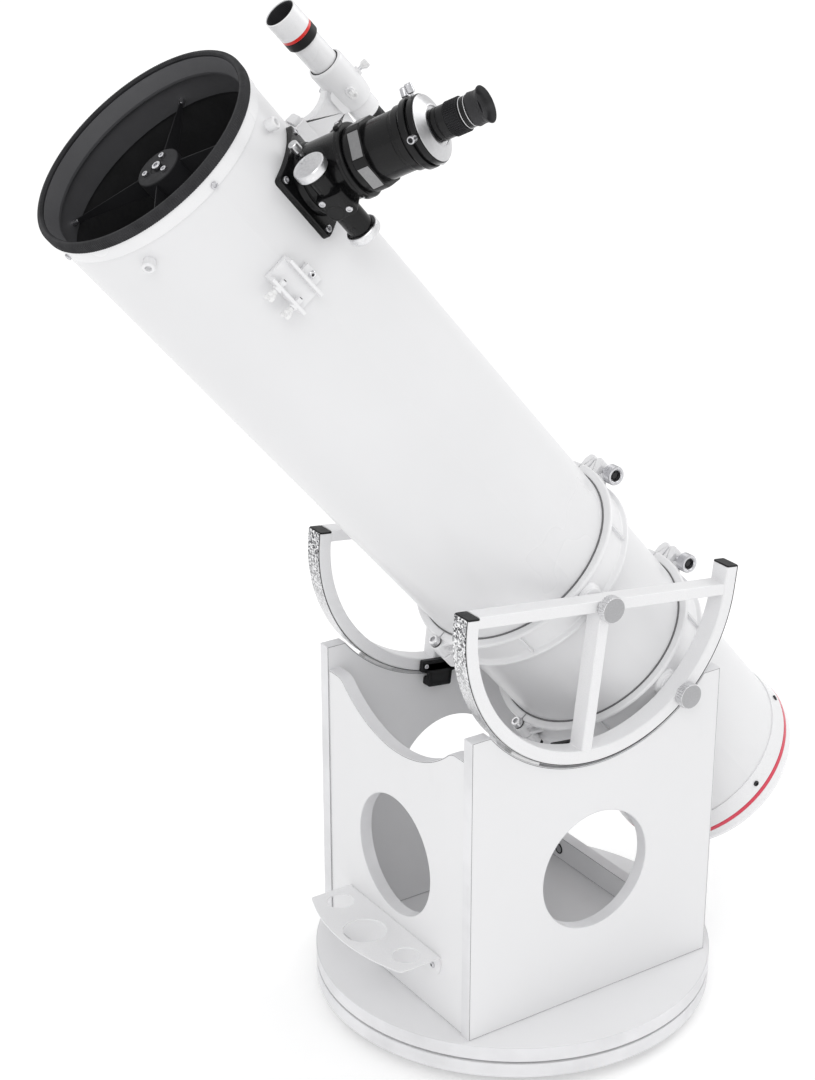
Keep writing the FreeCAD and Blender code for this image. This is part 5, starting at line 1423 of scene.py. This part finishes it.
# ---------------------------------------------------------------- CAD nodes that stay
KEPT = {"optical_tube": TUBE_PAINT, "primary_mirror": MIRROR, "secondary_mirror": MIRROR,
        "secondary_holder": FLAT_BLACK, "mirror_cell": SATIN_GREY, "cell_frame": POWDER,
        "mirror_clips": STEEL, "ring_liners": LINER, "altitude_pads": WHITE_PLASTIC,
        "pivot_bush": WHITE_PLASTIC, "lower_bearing_race": STEEL, "upper_bearing_race": STEEL,
        "azimuth_rollers": CHROME, "azimuth_cage": STEEL}


def dress_cad_nodes():
    """Materials for the CAD nodes that are shown as they are; the square-edged ones are bevelled."""
    for name, material in KEPT.items():
        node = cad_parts[name]
        node.data.materials.clear()
        node.data.materials.append(material)
        if name in ("secondary_holder", "mirror_cell", "cell_frame", "mirror_clips", "altitude_pads"):
            weld = node.modifiers.new("weld", "WELD")
            weld.merge_threshold = 1e-5
            flat = node.modifiers.new("flat", "DECIMATE")
            flat.decimate_type = "DISSOLVE"
            flat.angle_limit = math.radians(1.5)
            bevel = node.modifiers.new("edges", "BEVEL")
            bevel.width = 0.0008
            bevel.segments = 2
            bevel.limit_method = "ANGLE"
            bevel.angle_limit = math.radians(40)


# ---------------------------------------------------------------- camera, floor and light
def make_camera():
    """A long lens, looking down from the front right."""
    azimuth, elevation, roll = (math.radians(v) for v in (53.937, 22.761, 1.067))
    back = Vector((math.sin(azimuth) * math.cos(elevation), -math.cos(azimuth) * math.cos(elevation),
                   math.sin(elevation)))
    right = Vector((math.cos(azimuth), math.sin(azimuth), 0))
    up = back.cross(right)
    side = right * math.cos(roll) + up * math.sin(roll)
    top = up * math.cos(roll) - right * math.sin(roll)
    data = bpy.data.cameras.new("camera")
    data.sensor_width = 36
    data.lens = 71.67
    data.shift_x, data.shift_y = -0.0934, 0.0367
    data.clip_start, data.clip_end = 0.05, 60
    camera = bpy.data.objects.new("camera", data)
    bpy.context.scene.collection.objects.link(camera)
    facing = Matrix((side, top, back)).transposed().to_4x4()
    camera.matrix_world = Matrix.Translation((1.85889, -1.37079, 1.50498)) @ facing
    bpy.context.scene.camera = camera


def area_light(name, place, target, size, power):
    data = bpy.data.lights.new(name, "AREA")
    data.shape = "RECTANGLE"
    data.size, data.size_y = size
    data.energy = power
    light = bpy.data.objects.new(name, data)
    bpy.context.scene.collection.objects.link(light)
    light.location = place
    light.rotation_mode = "QUATERNION"
    light.rotation_quaternion = (Vector(target) - Vector(place)).to_track_quat("-Z", "Y")


def make_stage():
    """A floor that brightens away from the part, a white world and three soft lights."""
    n = Nodes("floor_white")
    n.put(Specular_IOR_Level=0.2, Emission_Strength=1.0)
    away = n.add("ShaderNodeVectorMath", operation="LENGTH")
    n.link(n.place, away.inputs[0])
    reach = n.math("MULTIPLY", away.outputs["Value"], 0.1)
    n.link(n.grey(reach, 0.14, 0.32, 0.25, 0.8), n.shader.inputs["Emission Color"])
    shade = n.ramp(n.noise(1.2, 3.0), (0.3, (0.93, 0.93, 0.93)), (0.7, (0.95, 0.95, 0.95)))
    material = n.finish(shade, n.grey(n.noise(20.0), 0.7, 0.9))
    bpy.ops.mesh.primitive_plane_add(size=120, location=(0, 0, -0.0005))
    floor = bpy.context.object
    floor.name = "floor"
    floor.data.materials.append(material)
    bpy.context.scene.view_settings.view_transform = "Standard"
    world = bpy.data.worlds.new("studio")
    bpy.context.scene.world = world
    world.use_nodes = True
    sky = world.node_tree.nodes["Background"].inputs
    sky["Color"].default_value = (1, 1, 1, 1)
    sky["Strength"].default_value = 0.82
    area_light("key", (2.6, -2.4, 3.4), (0, 0, 0.6), (2.2, 2.2), 36)
    area_light("left_fill", (-3.2, -1.8, 1.9), (0, 0, 0.6), (2.4, 2.4), 12)
    area_light("back_top", (0.4, 3.2, 3.2), (0, 0, 0.7), (2.6, 2.0), 42)


make_camera()
make_stage()
make_boards()
make_feet_and_pivot()
make_tray()
make_rocker_fittings()
make_side_frames()
make_guides()
make_rings()
make_clamps()
make_cradle_knobs()
make_tube()
make_tube_screws()
make_spider()
make_mirror_end()
make_focuser()
make_focus_knobs()
make_drawtube()
make_drawtube_clamp()
make_eyepiece()
make_finder()
make_finder_bracket()
make_shoes()
dress_cad_nodes()
